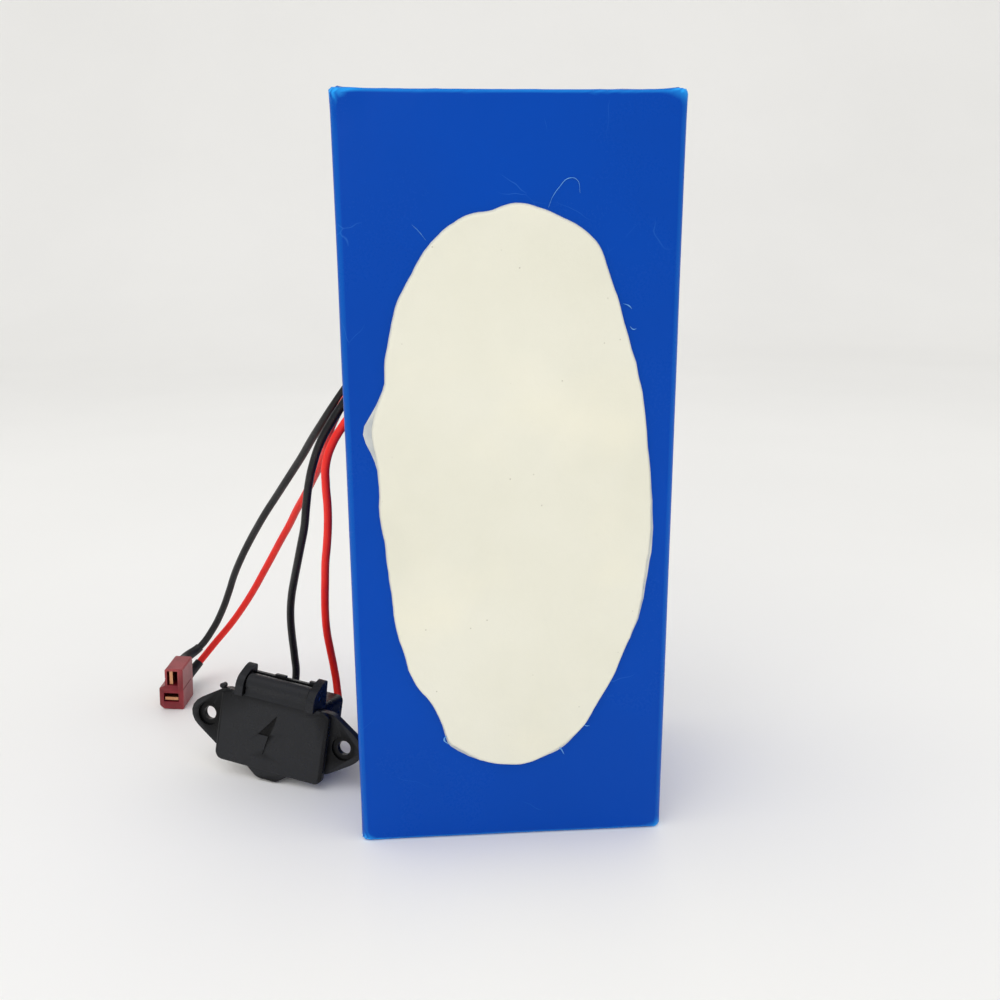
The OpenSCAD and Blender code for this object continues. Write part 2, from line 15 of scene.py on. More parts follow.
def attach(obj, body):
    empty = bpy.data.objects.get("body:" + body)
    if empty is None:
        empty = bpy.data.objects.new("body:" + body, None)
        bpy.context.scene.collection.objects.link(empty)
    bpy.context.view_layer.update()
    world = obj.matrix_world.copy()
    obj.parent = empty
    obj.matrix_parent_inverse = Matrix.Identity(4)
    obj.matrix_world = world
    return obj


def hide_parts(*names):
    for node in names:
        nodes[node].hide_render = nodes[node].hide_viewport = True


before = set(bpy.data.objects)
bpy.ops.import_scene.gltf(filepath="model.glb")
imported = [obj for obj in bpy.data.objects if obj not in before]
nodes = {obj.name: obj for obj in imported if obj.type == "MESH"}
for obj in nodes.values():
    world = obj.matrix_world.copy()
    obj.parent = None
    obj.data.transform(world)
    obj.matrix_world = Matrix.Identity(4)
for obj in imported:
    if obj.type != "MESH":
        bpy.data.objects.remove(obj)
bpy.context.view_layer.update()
MM = 0.001

# %% [markdown]
# ## The camera
# The pack stands on a table and is seen from in front, a little to its left, from just under
# its top. A camera is a matrix: its columns say where right, up and backwards point.

# %% Camera
CAMERA_AT = (-23.58, -312.86, 179.91)
YAW, PITCH, ROLL = (math.radians(a) for a in (4.17, 15.22, -0.31))

forward = Vector((math.sin(YAW) * math.cos(PITCH), math.cos(YAW) * math.cos(PITCH), -math.sin(PITCH)))
level = Vector((math.cos(YAW), -math.sin(YAW), 0))
upright = level.cross(forward)
right = level * math.cos(ROLL) + upright * math.sin(ROLL)
up = upright * math.cos(ROLL) - level * math.sin(ROLL)
camera = bpy.data.objects.new("camera", bpy.data.cameras.new("camera"))
camera.data.lens = 37.84
camera.data.sensor_width = 36
camera.data.clip_start = 0.01
camera.matrix_world = Matrix.Translation(Vector(CAMERA_AT) * MM) @ Matrix((right, up, -forward)).transposed().to_4x4()
bpy.context.scene.collection.objects.link(camera)
bpy.context.scene.camera = camera
bpy.context.scene.view_settings.view_transform = "Standard"
print("camera at", CAMERA_AT, "mm, looking down", round(math.degrees(PITCH), 1), "degrees")

# %% [markdown]
# ## The four leads
# Each lead is a limp stranded wire, 2.7 mm over its insulation. Two run from the pack to the
# plug and two to the port. A lead is a Bezier curve with a round bevel: the curve is the wire's
# own centre line, so its length can be measured, and a handful of points bends it smoothly.
# The points are the CAD model's own, in millimetres.

# %% Places of the plug and the port
def placing(at, yaw=0, lean=0, roll=0):
    """The matrix of a small part that is set down at a point, then turned, leaned and rolled."""
    turn = Matrix.Rotation(math.radians(yaw), 4, "Z") @ Matrix.Rotation(math.radians(lean), 4, "X")
    return Matrix.Translation(at) @ turn @ Matrix.Rotation(math.radians(roll), 4, "Y")


PORT = placing((-75.1, 5.5, 16.4), yaw=-22, lean=-11, roll=5.5)
PLUG = placing((-116.7, 57.4, 0), yaw=-5, roll=3)
LEAD_D = 2.7
PLUG_U, PLUG_HIGH, PLUG_LOW = -4.6, 12.4, 4
TAB_U, TAB_N, TAB_V, TAB_LEAN = 9, 22, -2, math.radians(45)


def along_tab(side, d):
    """A point on the port's left or right terminal, d millimetres along its slanted tab."""
    return PORT @ Vector((side * TAB_U, TAB_N + d * math.cos(TAB_LEAN), TAB_V + d * math.sin(TAB_LEAN)))


# %% Routes
ROUTES = {
    "black_lead_to_plug": [
        (-53, 25.4, 120), (-57.4, 30.2, 113.4), (-61.4, 35.8, 107.2), (-65.2, 41.8, 100.8),
        (-69.2, 47.4, 94.6), (-73.4, 52.6, 88.2), (-77.6, 57.6, 81.8), (-82, 62, 75.2),
        (-86.2, 66.2, 68.4), (-90.4, 70.2, 61.2), (-94.4, 73.8, 53.8), (-98, 77, 46.2),
        (-101.2, 79.8, 38), (-104.8, 82, 29.6), (-109.2, 83, 21.6), (-114.4, 81.8, 15),
    ],
    "red_lead_to_plug": [
        (-52.4, 20.8, 116.4), (-55.2, 27, 109.2), (-57.4, 34.6, 102.6), (-60.2, 42.2, 96),
        (-63.4, 49.2, 89.6), (-67, 55.6, 82.8), (-70.8, 61.4, 76), (-74.6, 66.8, 68.6),
        (-78.8, 71.6, 61.2), (-83, 75.8, 53.6), (-87.4, 79.6, 45.8), (-92, 82.8, 37.8),
        (-97, 85.4, 30), (-102.8, 87.2, 22), (-109.4, 87, 14.4), (-115.4, 83.6, 7.8),
    ],
    "black_lead_to_port": [
        (-52.4, 13.4, 117.6), (-56.2, 14.2, 111), (-59, 15.4, 103.8), (-61, 17.2, 96.4),
        (-62.4, 19.2, 88.6), (-63.6, 21.4, 81.2), (-65.4, 24, 74), (-67.2, 26.6, 67),
        (-69, 29.2, 60), (-70.6, 31.8, 53), (-71.6, 34.2, 45.4), (-71.8, 36.2, 37.4),
        (-71.6, 37.8, 29.2), (-71.4, 37.4, 21.4),
    ],
    "red_lead_to_port": [
        (-52, 8.2, 111.8), (-54.4, 9.4, 105.2), (-55, 11.6, 97.8), (-55, 13.8, 90.2),
        (-55.4, 15.8, 83), (-56.2, 17.6, 76), (-57.2, 19.6, 69), (-57.8, 21.8, 62.2),
        (-58.4, 24.2, 55.2), (-58.8, 26.6, 48), (-58.8, 29, 40.8), (-58.2, 31, 33.6),
        (-57.4, 32.2, 26.4), (-56.6, 31.4, 19.6),
    ],
}
LEAVES_AT = {  # where each lead comes out of the pack's left side, in Y and Z
    "black_lead_to_plug": (23, 131), "red_lead_to_plug": (18, 128),
    "black_lead_to_port": (13, 128), "red_lead_to_port": (8, 122),
}
ENDS_AT = {
    "black_lead_to_plug": [PLUG @ Vector((PLUG_U, n, PLUG_HIGH)) for n in (19.8, 14.4)],
    "red_lead_to_plug": [PLUG @ Vector((PLUG_U, n, PLUG_LOW)) for n in (19.8, 14.4)],
    "black_lead_to_port": [along_tab(-1, d) for d in (7.5, 4)],
    "red_lead_to_port": [along_tab(1, d) for d in (7.5, 4)],
}


# %% Draw the leads
def lead(name):
    """One wire, from just inside the pack's side to its terminal."""
    y, z = LEAVES_AT[name]
    start = [Vector((-45, y, z)), Vector((-47, y, z - 2.67)), Vector((-48, y, z - 4))]
    points = start + [Vector(p) for p in ROUTES[name]] + ENDS_AT[name]
    curve = bpy.data.curves.new(name, "CURVE")
    curve.dimensions = "3D"
    curve.bevel_depth = LEAD_D / 2 * MM
    curve.bevel_resolution = 6
    curve.resolution_u = 8
    curve.use_fill_caps = True
    spline = curve.splines.new("BEZIER")
    spline.bezier_points.add(len(points) - 1)
    for knot, point in zip(spline.bezier_points, points):
        knot.co = point * MM
        knot.handle_left_type = knot.handle_right_type = "AUTO"
    made = bpy.data.objects.new(name, curve)
    bpy.context.scene.collection.objects.link(made)
    print(name, len(points), "points,", round(spline.calc_length() / MM, 1), "mm long")
    return made, spline.calc_length()


leads = {name: lead(name) for name in ROUTES}

# %% [markdown]
# ## The room
# A pale sheet lies under the pack and curves up behind it, as in a small photo booth, so there
# is no line where floor meets wall. One big soft light hangs overhead and to the left, and a
# weaker one fills the right. Large lights give the wide soft gleams that thin film shows.


# %% Shader helpers
def linear(*rgb):
    """A screen colour of 0 to 255 as the linear colour that shaders work in."""
    def one(c):
        c /= 255
        return c / 12.92 if c <= 0.04045 else ((c + 0.055) / 1.055) ** 2.4
    return (*(one(c) for c in rgb), 1.0)


def shader(tree, kind, **values):
    """A new shader node. Values name its sockets or its settings."""
    made = tree.nodes.new(kind)
    for key, value in values.items():
        socket = made.inputs.get(key.replace("_", " "))
        if hasattr(made, key):
            setattr(made, key, value)
        elif isinstance(value, bpy.types.NodeSocket):
            tree.links.new(value, socket)
        else:
            socket.default_value = value
    return made


def math_of(tree, operation, *values):
    made = tree.nodes.new("ShaderNodeMath")
    made.operation = operation
    for i, value in enumerate(values):
        if isinstance(value, bpy.types.NodeSocket):
            tree.links.new(value, made.inputs[i])
        else:
            made.inputs[i].default_value = value
    return made.outputs[0]


def blend_of(tree, amount, a, b):
    """Colour a where the amount is 0, and b where it is 1."""
    made = tree.nodes.new("ShaderNodeMix")
    made.data_type = "RGBA"
    for socket, value in zip((made.inputs["Factor"], made.inputs[6], made.inputs[7]), (amount, a, b)):
        if isinstance(value, bpy.types.NodeSocket):
            tree.links.new(value, socket)
        else:
            socket.default_value = value
    return made.outputs[2]


def group(name, takes, gives):
    """An empty shader group with named sockets. takes and gives pair each name with its kind."""
    made = bpy.data.node_groups.new(name, "ShaderNodeTree")
    for label, kind, value in takes:
        socket = made.interface.new_socket(label, in_out="INPUT", socket_type="NodeSocket" + kind)
        if value is not None:
            socket.default_value = value
    for label, kind in gives:
        made.interface.new_socket(label, in_out="OUTPUT", socket_type="NodeSocket" + kind)
    start, end = made.nodes.new("NodeGroupInput"), made.nodes.new("NodeGroupOutput")
    return made, start.outputs, end.inputs


# %% [markdown]
# ## Effects that several finishes share
# A real surface is never one flat colour. It has broad blotches, a fine grain, and sharp edges
# lightened in colour: worn on the moulded parts, a painted highlight on the film. Each effect is a
# small group of shader nodes, built once and then placed in each finish with that finish's own numbers.

# %% Mottle: blotches of colour, uneven gloss and a fine grain
def mottle_group():
    made, takes, gives = group(
        "mottle",
        [("Vector", "Vector", None), ("Light", "Color", None), ("Dark", "Color", None),
         ("Blotches", "Float", 40.0), ("Grain", "Float", 900.0), ("Smooth", "Float", 0.3),
         ("Rough", "Float", 0.5)],
        [("Color", "Color"), ("Roughness", "Float"), ("Height", "Float")],
    )
    broad = shader(made, "ShaderNodeTexNoise", Vector=takes["Vector"], Scale=takes["Blotches"], Detail=3.0)
    fine = shader(made, "ShaderNodeTexNoise", Vector=takes["Vector"], Scale=takes["Grain"], Detail=2.0)
    patch = shader(made, "ShaderNodeMapRange", Value=broad.outputs["Fac"], From_Min=0.35, From_Max=0.65)
    made.links.new(blend_of(made, patch.outputs[0], takes["Light"], takes["Dark"]), gives["Color"])
    uneven = math_of(made, "ADD", math_of(made, "MULTIPLY", patch.outputs[0], 0.6),
                     math_of(made, "MULTIPLY", fine.outputs["Fac"], 0.4))
    gloss = shader(made, "ShaderNodeMapRange", Value=uneven, To_Min=takes["Smooth"], To_Max=takes["Rough"])
    made.links.new(gloss.outputs[0], gives["Roughness"])
    made.links.new(fine.outputs["Fac"], gives["Height"])
    return made


MOTTLE = mottle_group()


# %% Lighter edges: edge wear on moulded parts, a painted highlight on the film
def edge_wear_and_highlight_group():
    made, takes, gives = group(
        "edge_wear_and_highlight", [("Color", "Color", None), ("Edge", "Color", None), ("Amount", "Float", 0.5)],
        [("Color", "Color")],
    )
    shape = shader(made, "ShaderNodeNewGeometry")
    # Sharp edges, found by pointiness, are lightened: edge wear on moulded parts, a painted highlight on the film.
    edge = shader(made, "ShaderNodeMapRange", Value=shape.outputs["Pointiness"], From_Min=0.52, From_Max=0.6)
    amount = math_of(made, "MULTIPLY", edge.outputs[0], takes["Amount"])
    made.links.new(blend_of(made, amount, takes["Color"], takes["Edge"]), gives["Color"])
    return made


EDGE_WEAR_AND_HIGHLIGHT = edge_wear_and_highlight_group()


# %% Pits: a few dark pinholes, far apart
def pits_group():
    made, takes, gives = group(
        "pits", [("Vector", "Vector", None), ("Spacing", "Float", 50.0), ("Size", "Float", 0.02)],
        [("Mask", "Float")],
    )
    cells = shader(made, "ShaderNodeTexVoronoi", Vector=takes["Vector"], Scale=takes["Spacing"],
                   voronoi_dimensions="2D")
    hole = shader(made, "ShaderNodeMapRange", Value=cells.outputs["Distance"], To_Min=1.0, To_Max=0.0,
                  From_Min=0.0, From_Max=takes["Size"])
    made.links.new(hole.outputs[0], gives["Mask"])
    return made


PITS = pits_group()


# %% Weave: crossed glass threads, as in epoxy board and insulating paper
def weave_group():
    made, takes, gives = group(
        "weave", [("Vector", "Vector", None), ("Thread", "Float", 600.0)], [("Height", "Float")],
    )
    threads = []
    for direction in ("X", "Z"):
        wave = shader(made, "ShaderNodeTexWave", Vector=takes["Vector"], Scale=takes["Thread"],
                      wave_type="BANDS", bands_direction=direction)
        threads.append(wave.outputs["Fac"])
    made.links.new(math_of(made, "MAXIMUM", *threads), gives["Height"])
    return made


WEAVE = weave_group()


# %% One finish: mottle, rubbed edges and a bump, ready for a material's own extras
def place_group(tree, made, **values):
    placed = shader(tree, "ShaderNodeGroup", node_tree=made)
    for key, value in values.items():
        if isinstance(value, bpy.types.NodeSocket):
            tree.links.new(value, placed.inputs[key])
        else:
            placed.inputs[key].default_value = value
    return placed.outputs


def finish_of(name, light, dark, blotches=40, grain=900, gloss=(0.35, 0.5), bump=0.02, edge=None,
              edge_wear_and_highlight_amount=0.4, extra=None, **sockets):
    """A material. extra may change its colour, roughness and height before they reach the shader."""
    material = bpy.data.materials.new(name)
    material.use_nodes = True
    tree = material.node_tree
    surface = tree.nodes["Principled BSDF"]
    at = shader(tree, "ShaderNodeTexCoord").outputs["Object"]
    out = place_group(tree, MOTTLE, Vector=at, Light=light, Dark=dark, Blotches=float(blotches),
                      Grain=float(grain), Smooth=gloss[0], Rough=gloss[1])
    looks = {"color": out["Color"], "roughness": out["Roughness"], "height": out["Height"]}
    if edge:
        looks["color"] = place_group(tree, EDGE_WEAR_AND_HIGHLIGHT, Color=looks["color"], Edge=edge, Amount=edge_wear_and_highlight_amount)["Color"]
    if extra:
        extra(tree, at, looks)
    tree.links.new(looks["color"], surface.inputs["Base Color"])
    tree.links.new(looks["roughness"], surface.inputs["Roughness"])
    raised = shader(tree, "ShaderNodeBump", Height=looks["height"], Distance=bump * MM, Strength=1.0)
    tree.links.new(raised.outputs["Normal"], surface.inputs["Normal"])
    for key, value in sockets.items():
        surface.inputs[key.replace("_", " ")].default_value = value
    print("finish", name)
    return material


# %% Floor, backdrop and lights
def backdrop():
    """A strip of paper, flat under the pack and curved up far behind it."""
    bm = bmesh.new()
    bmesh.ops.create_grid(bm, x_segments=2, y_segments=60, size=1)
    for v in bm.verts:
        run = (v.co.y + 1) * 2.4 - 1.6
        bend = min(max(run - 1.0, 0) / 0.8, math.pi / 2)
        rise = max(run - 1.0 - 0.8 * math.pi / 2, 0)
        v.co = (v.co.x * 4, min(run, 1.0) + 0.8 * math.sin(bend), 0.8 * (1 - math.cos(bend)) + rise)
    mesh = bpy.data.meshes.new("backdrop")
    bm.to_mesh(mesh)
    bm.free()
    mesh.shade_smooth()
    mesh.transform(Matrix.Translation((0, 0, -0.00005)))
    made = bpy.data.objects.new("backdrop", mesh)
    bpy.context.scene.collection.objects.link(made)
    made.data.materials.append(
        finish_of("pale_paper", linear(247, 246, 244), linear(244, 243, 241), 3, 400, (0.5, 0.6), 0.01))


def soft_light(name, at, aim, size, watts):
    lamp = bpy.data.lights.new(name, "AREA")
    lamp.size = size
    lamp.energy = watts
    made = bpy.data.objects.new(name, lamp)
    made.matrix_world = Matrix.Translation(at) @ (Vector(aim) - Vector(at)).to_track_quat("-Z", "Y").to_matrix().to_4x4()
    bpy.context.scene.collection.objects.link(made)


backdrop()
soft_light("overhead", (-0.45, -0.2, 1.0), (0, 0, 0.05), 0.8, 1.7)
soft_light("front_fill", (-0.5, -1.2, 0.7), (0, 0, 0.1), 1.0, 2.9)
soft_light("right_fill", (1.1, -0.4, 0.8), (0, 0, 0.1), 0.8, 1.2)
world = bpy.data.worlds.new("room")
world.use_nodes = True
ROOM_LIGHT, ROOM_GLOSS = 0.875, 0.35  # what the room gives to surfaces, and what shows in reflections
path = shader(world.node_tree, "ShaderNodeLightPath")
seen = math_of(world.node_tree, "MULTIPLY", path.outputs["Is Glossy Ray"], ROOM_GLOSS - ROOM_LIGHT)
strength = math_of(world.node_tree, "ADD", seen, ROOM_LIGHT)
world.node_tree.links.new(strength, world.node_tree.nodes["Background"].inputs["Strength"])
world.node_tree.nodes["Background"].inputs["Color"].default_value = (1.0, 1.0, 0.99, 1)
bpy.context.scene.world = world
print("a sheet of paper, three soft lights and an even room")


# %% [markdown]
# ## Making solid pieces
# Small parts are easiest to model in millimetres, lying square, with u to the right, n to the
# back and v upwards. When a part is finished its mesh is moved to its place and scaled to
# metres, and the object itself stays at the origin, unturned.

# %% Helpers for solids
def rounded(points, radius):
    """Pairs every point of an outline with one corner radius."""
    return [(u, v, radius) for u, v in points]


def box_outline(w, h, radius):
    return rounded([(-w / 2, -h / 2), (w / 2, -h / 2), (w / 2, h / 2), (-w / 2, h / 2)], radius)


def prism(outline, start, end, segments=6, along="n"):
    """Extrudes an outline of (u, v, corner radius) back along n, or one of (n, v, radius) along u."""
    lie = (lambda p, q: (p, start, q)) if along == "n" else (lambda p, q: (start, p, q))
    grow = Vector((0, end - start, 0)) if along == "n" else Vector((end - start, 0, 0))
    bm = bmesh.new()
    face = bm.faces.new([bm.verts.new(lie(p, q)) for p, q, _ in outline])
    grown = bmesh.ops.extrude_face_region(bm, geom=[face])["geom"]
    bmesh.ops.translate(bm, verts=[g for g in grown if isinstance(g, bmesh.types.BMVert)], vec=grow)
    for radius in sorted({r for _, _, r in outline if r}):
        spots = [Vector(lie(p, q)) for p, q, r in outline if r == radius]
        corners = [
            e for e in bm.edges
            if abs((e.verts[0].co - e.verts[1].co).dot(grow)) > 1e-3
            and any((spot - v.co).length < 1e-3 for spot in spots for v in e.verts)
        ]
        bmesh.ops.bevel(bm, geom=corners, offset=radius, offset_type="OFFSET", segments=segments,
                        profile=0.5, affect="EDGES", material=-1)
    bmesh.ops.recalc_face_normals(bm, faces=bm.faces)
    return bm


def bar(u0, u1, n, v, radius, segments=40):
    """A round bar that runs to the right, from u0 to u1."""
    bm = bmesh.new()
    place = Matrix.Translation(((u0 + u1) / 2, n, v)) @ Matrix.Rotation(math.pi / 2, 4, "Y")
    bmesh.ops.create_cone(bm, cap_ends=True, segments=segments, radius1=radius, radius2=radius,
                          depth=u1 - u0, matrix=place)
    return bm


def rod(u, v, n0, n1, radius, segments=40):
    """A round bar that runs to the back, from n0 to n1."""
    bm = bmesh.new()
    place = Matrix.Translation((u, (n0 + n1) / 2, v)) @ Matrix.Rotation(math.pi / 2, 4, "X")
    bmesh.ops.create_cone(bm, cap_ends=True, segments=segments, radius1=radius, radius2=radius,
                          depth=n1 - n0, matrix=place)
    return bm


def block(u, n, v):
    bm = bmesh.new()
    low, high = Vector((u[0], n[0], v[0])), Vector((u[1], n[1], v[1]))
    bmesh.ops.create_cube(bm, size=1, matrix=Matrix.Translation((low + high) / 2)
                          @ Matrix.Diagonal((*(high - low), 1)))
    return bm


def as_object(name, bm):
    mesh = bpy.data.meshes.new(name)
    bm.to_mesh(mesh)
    bm.free()
    made = bpy.data.objects.new(name, mesh)
    bpy.context.scene.collection.objects.link(made)
    return made


def set_shape(piece):
    """Makes what the piece's modifiers do its own mesh, and takes the modifiers off."""
    graph = bpy.context.evaluated_depsgraph_get()
    mesh = bpy.data.meshes.new_from_object(piece.evaluated_get(graph))
    piece.modifiers.clear()
    old, piece.data = piece.data, mesh
    bpy.data.meshes.remove(old)


def carve(piece, tools, operation="DIFFERENCE"):
    """Cuts tools out of a piece, or adds them to it. Each tool is a bmesh and is used up."""
    helpers = [as_object("tool", bm) for bm in tools]
    for helper in helpers:
        step = piece.modifiers.new("carve", "BOOLEAN")
        step.operation, step.object, step.solver = operation, helper, "EXACT"
    set_shape(piece)
    for helper in helpers:
        mesh = helper.data
        bpy.data.objects.remove(helper)
        bpy.data.meshes.remove(mesh)
    return piece


def soften(piece, width, segments=2, angle=35):
    """Rounds a moulded or machined part's sharp edges a little."""
    step = piece.modifiers.new("soften", "BEVEL")
    step.width, step.segments, step.limit_method = width, segments, "ANGLE"
    step.angle_limit = math.radians(angle)
    set_shape(piece)


def settle(piece, place, material, body, slot, *stands_for, smooth=40):
    """Moves a finished mesh from its own millimetres to its place and hangs it on its body. Its slot is not used."""
    piece.data.transform(Matrix.Scale(MM, 4) @ place)
    bm = bmesh.new()
    bm.from_mesh(piece.data)
    bmesh.ops.remove_doubles(bm, verts=bm.verts, dist=1e-7)
    bm.to_mesh(piece.data)
    bm.free()
    piece.data.shade_smooth()
    piece.data.set_sharp_from_angle(angle=math.radians(smooth))
    even = piece.modifiers.new("even_shading", "WEIGHTED_NORMAL")
    even.keep_sharp = True
    piece.data.materials.clear()
    piece.data.materials.append(material)
    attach(piece, body)
    if stands_for:
        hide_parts(*stands_for)
    print(piece.name, len(piece.data.polygons), "faces")
    return piece


# %% [markdown]
# ## The wrap
# The pack is closed in a tube of PVC film, about 0.4 mm thick, that shrinks when it is heated.
# It pulls flat over the boards inside, rounds every corner, and its two ends curl in over the
# end boards as a lap with a wavy edge. A box is bevelled, cut into a fine grid, and its rims
# are extruded inwards, so that every crease can be made by moving vertices a few tenths of a
# millimetre. Cloth would work too, but a tight film hardly moves, and this is exact.

# %% Film: the box and its grid
WRAP_W, WRAP_D, WRAP_H = 90, 72, 210
MID_Y, FRONT_Y = 0.7, -35.3
EDGE_R, RIM_R, FILM_T, LAP = 2.5, 1.1, 0.4, 11
HOLE_Y, HOLE_Z = (8.5, 22.5), (119.5, 133)


def spread(low, high, pitch):
    """Evenly spaced cuts between two places."""
    count = max(1, round((high - low) / pitch))
    return [low + (high - low) * i / count for i in range(1, count)]


def wrap_grid():
    bm = bmesh.new()
    bmesh.ops.create_cube(bm, size=1, matrix=Matrix.Translation((0, MID_Y, WRAP_H / 2))
                          @ Matrix.Diagonal((WRAP_W, WRAP_D, WRAP_H, 1)))
    tall = [e for e in bm.edges if abs(e.verts[0].co.z - e.verts[1].co.z) > 1]
    bmesh.ops.bevel(bm, geom=tall, offset=EDGE_R, offset_type="OFFSET", segments=5, profile=0.5,
                    affect="EDGES", material=-1)
    rim = [e for e in bm.edges if abs(e.verts[0].co.z - e.verts[1].co.z) < 1e-4]
    bmesh.ops.bevel(bm, geom=rim, offset=RIM_R, offset_type="OFFSET", segments=3, profile=0.5,
                    affect="EDGES", material=-1)
    ends = [f for f in bm.faces if abs(f.normal.z) > 0.99]
    bmesh.ops.delete(bm, geom=ends, context="FACES_ONLY")
    cuts = [((0, 0, 1), z) for z in
            spread(1.5, 16, 1.2) + spread(16, 194, 3.2) + spread(194, 208.5, 1.2) + [16, 194, *HOLE_Z]]
    cuts += [((1, 0, 0), x) for x in spread(-42, 42, 1.8)]
    cuts += [((0, 1, 0), y) for y in spread(-32.5, 33.9, 1.8) + [*HOLE_Y, MID_Y - 0.5, MID_Y, MID_Y + 0.5]]
    for normal, place in cuts:
        bmesh.ops.bisect_plane(bm, geom=bm.verts[:] + bm.edges[:] + bm.faces[:], dist=1e-4,
                               plane_co=Vector(normal) * place, plane_no=normal)
    print("film grid", len(bm.faces), "faces")
    return bm


# %% Film: the laps over both ends, and the slit for the leads
def tuck(co, inset):
    """Where a rim point goes when the lap is drawn in, with rounder and rounder corners."""
    half = (WRAP_W / 2 - RIM_R - inset, WRAP_D / 2 - RIM_R - inset)
    radius = 1.4 + 5.6 * inset / LAP
    core = (half[0] - radius, half[1] - radius)
    over = Vector((abs(co.x) - core[0], abs(co.y - MID_Y) - core[1]))
    if over.x > 0 and over.y > 0 and over.length > radius:
        over = over.normalized() * radius
    return Vector((math.copysign(core[0] + over.x, co.x), MID_Y + math.copysign(core[1] + over.y, co.y - MID_Y), co.z))


def add_laps(bm):
    for before, inset in zip((0, 1.5, 3.2, 5, 7, 9, 10.4), (1.5, 3.2, 5, 7, 9, 10.4, LAP)):
        loops = [e for e in bm.edges if e.is_boundary]
        grown = bmesh.ops.extrude_edge_only(bm, edges=loops)["geom"]
        wide = (WRAP_W / 2 - RIM_R - inset) / (WRAP_W / 2 - RIM_R - before)
        deep = (WRAP_D / 2 - RIM_R - inset) / (WRAP_D / 2 - RIM_R - before)
        for v in (g for g in grown if isinstance(g, bmesh.types.BMVert)):
            v.co.x *= wide
            v.co.y = MID_Y + (v.co.y - MID_Y) * deep
            v.co = tuck(v.co, inset)
    for v in bm.verts:
        if v.is_boundary:
            wave = noise.noise(Vector((v.co.x, v.co.y, v.co.z)) / 9) * 2.2
            away = Vector((v.co.x, v.co.y - MID_Y, 0)).normalized()
            v.co += away * wave


def open_slit(bm):
    inside = [
        f for f in bm.faces
        if f.calc_center_median().x < -44.9
        and HOLE_Y[0] < f.calc_center_median().y < HOLE_Y[1]
        and HOLE_Z[0] < f.calc_center_median().z < HOLE_Z[1]
    ]
    bmesh.ops.delete(bm, geom=inside, context="FACES")


# %% Film: creases
EARS = [(-42, -34, 210, 0.35), (42, -34, 210, 0.3), (-43.5, 35.5, 210, 0.4), (43.5, 35.5, 210, 0.4)]


def crease(co):
    """How far the film stands proud of a perfect box at a point, in millimetres."""
    end = min(co.z, WRAP_H - co.z)
    out = 0.10 * noise.noise(co / 28)
    side = abs(co.x) > 44
    if side:
        out += 0.16 * math.exp(-(((co.y - MID_Y) / 0.7) ** 2))
    around = co.x if not side else co.y
    pleat = noise.noise(Vector((around / 2.6, co.z / 16, 3 if side else 8)))
    if end > 0.8:
        out += 0.28 * max(pleat, 0) * math.exp(-end / 6)
    else:
        depth = min(WRAP_W / 2 - abs(co.x), WRAP_D / 2 - abs(co.y - MID_Y))
        out += 0.45 * max(noise.noise(co / 3.4), 0) * min(depth / 3, 1)
        for sx in (-1, 1):
            for sy in (-1, 1):
                arm = Vector((sx * co.x - 45 * 1.0, sy * (co.y - MID_Y) - 36))
                if arm.length < 18 and arm.length > 0.5:
                    fold = math.cos(math.atan2(arm.y, arm.x) * 14 + sx)
                    out += 0.35 * max(fold, 0) ** 2 * math.exp(-arm.length / 8)
    for x, y, z, tall in EARS:
        out += tall * math.exp(-((co - Vector((x, y, z))).length / 4) ** 2)
    return out


def wrap_film():
    bm = wrap_grid()
    add_laps(bm)
    open_slit(bm)
    bmesh.ops.recalc_face_normals(bm, faces=bm.faces)
    if sum(f.normal.dot(f.calc_center_median() - Vector((0, MID_Y, 105))) for f in bm.faces) < 0:
        bmesh.ops.reverse_faces(bm, faces=bm.faces)
    bm.normal_update()
    moves = {v: v.normal * crease(v.co) for v in bm.verts}
    for v, move in moves.items():
        v.co += move
        if v.co.z < 0.02:
            v.co.z = 0.02
    film = as_object("film_wrap", bm)
    wall = film.modifiers.new("wall", "SOLIDIFY")
    wall.thickness, wall.offset = FILM_T, -1
    set_shape(film)
    return film


# %% [markdown]
# Shrink film is a dyed, glossy plastic. Its colour barely changes, but its gloss does, where
# the heat gun went over it more than once, and a faint ripple breaks up every reflection.

# %% Film: finish and placing
def film_ripple(tree, at, looks):
    ripple = shader(tree, "ShaderNodeTexNoise", Vector=at, Scale=120.0, Detail=1.0)
    looks["height"] = math_of(tree, "ADD", math_of(tree, "MULTIPLY", ripple.outputs["Fac"], 3.0),
                              math_of(tree, "MULTIPLY", looks["height"], 0.25))


def film_scuffs(tree, at, looks):
    """A few pale hairline scuffs and handling marks, over the ripple."""
    film_ripple(tree, at, looks)
    drift = shader(tree, "ShaderNodeTexNoise", Vector=at, Scale=60.0, Detail=2.0)
    bent = shader(tree, "ShaderNodeVectorMath", operation="ADD")
    tree.links.new(at, bent.inputs[0])
    spread_out = shader(tree, "ShaderNodeVectorMath", operation="SCALE")
    tree.links.new(drift.outputs["Color"], spread_out.inputs[0])
    spread_out.inputs["Scale"].default_value = 0.012
    tree.links.new(spread_out.outputs[0], bent.inputs[1])
    lines = shader(tree, "ShaderNodeTexVoronoi", Vector=bent.outputs[0], Scale=55.0, feature="DISTANCE_TO_EDGE")
    thin = shader(tree, "ShaderNodeMapRange", Value=lines.outputs["Distance"], From_Max=0.006, To_Min=1.0, To_Max=0.0)
    where = shader(tree, "ShaderNodeTexNoise", Vector=at, Scale=95.0, Detail=0.0)
    few = shader(tree, "ShaderNodeMapRange", Value=where.outputs["Fac"], From_Min=0.68, From_Max=0.78)
    mark = math_of(tree, "MULTIPLY", thin.outputs[0], math_of(tree, "MULTIPLY", few.outputs[0], 0.2))
    looks["color"] = blend_of(tree, mark, looks["color"], linear(80, 160, 240))
    looks["roughness"] = math_of(tree, "ADD", looks["roughness"], math_of(tree, "MULTIPLY", mark, 0.5))
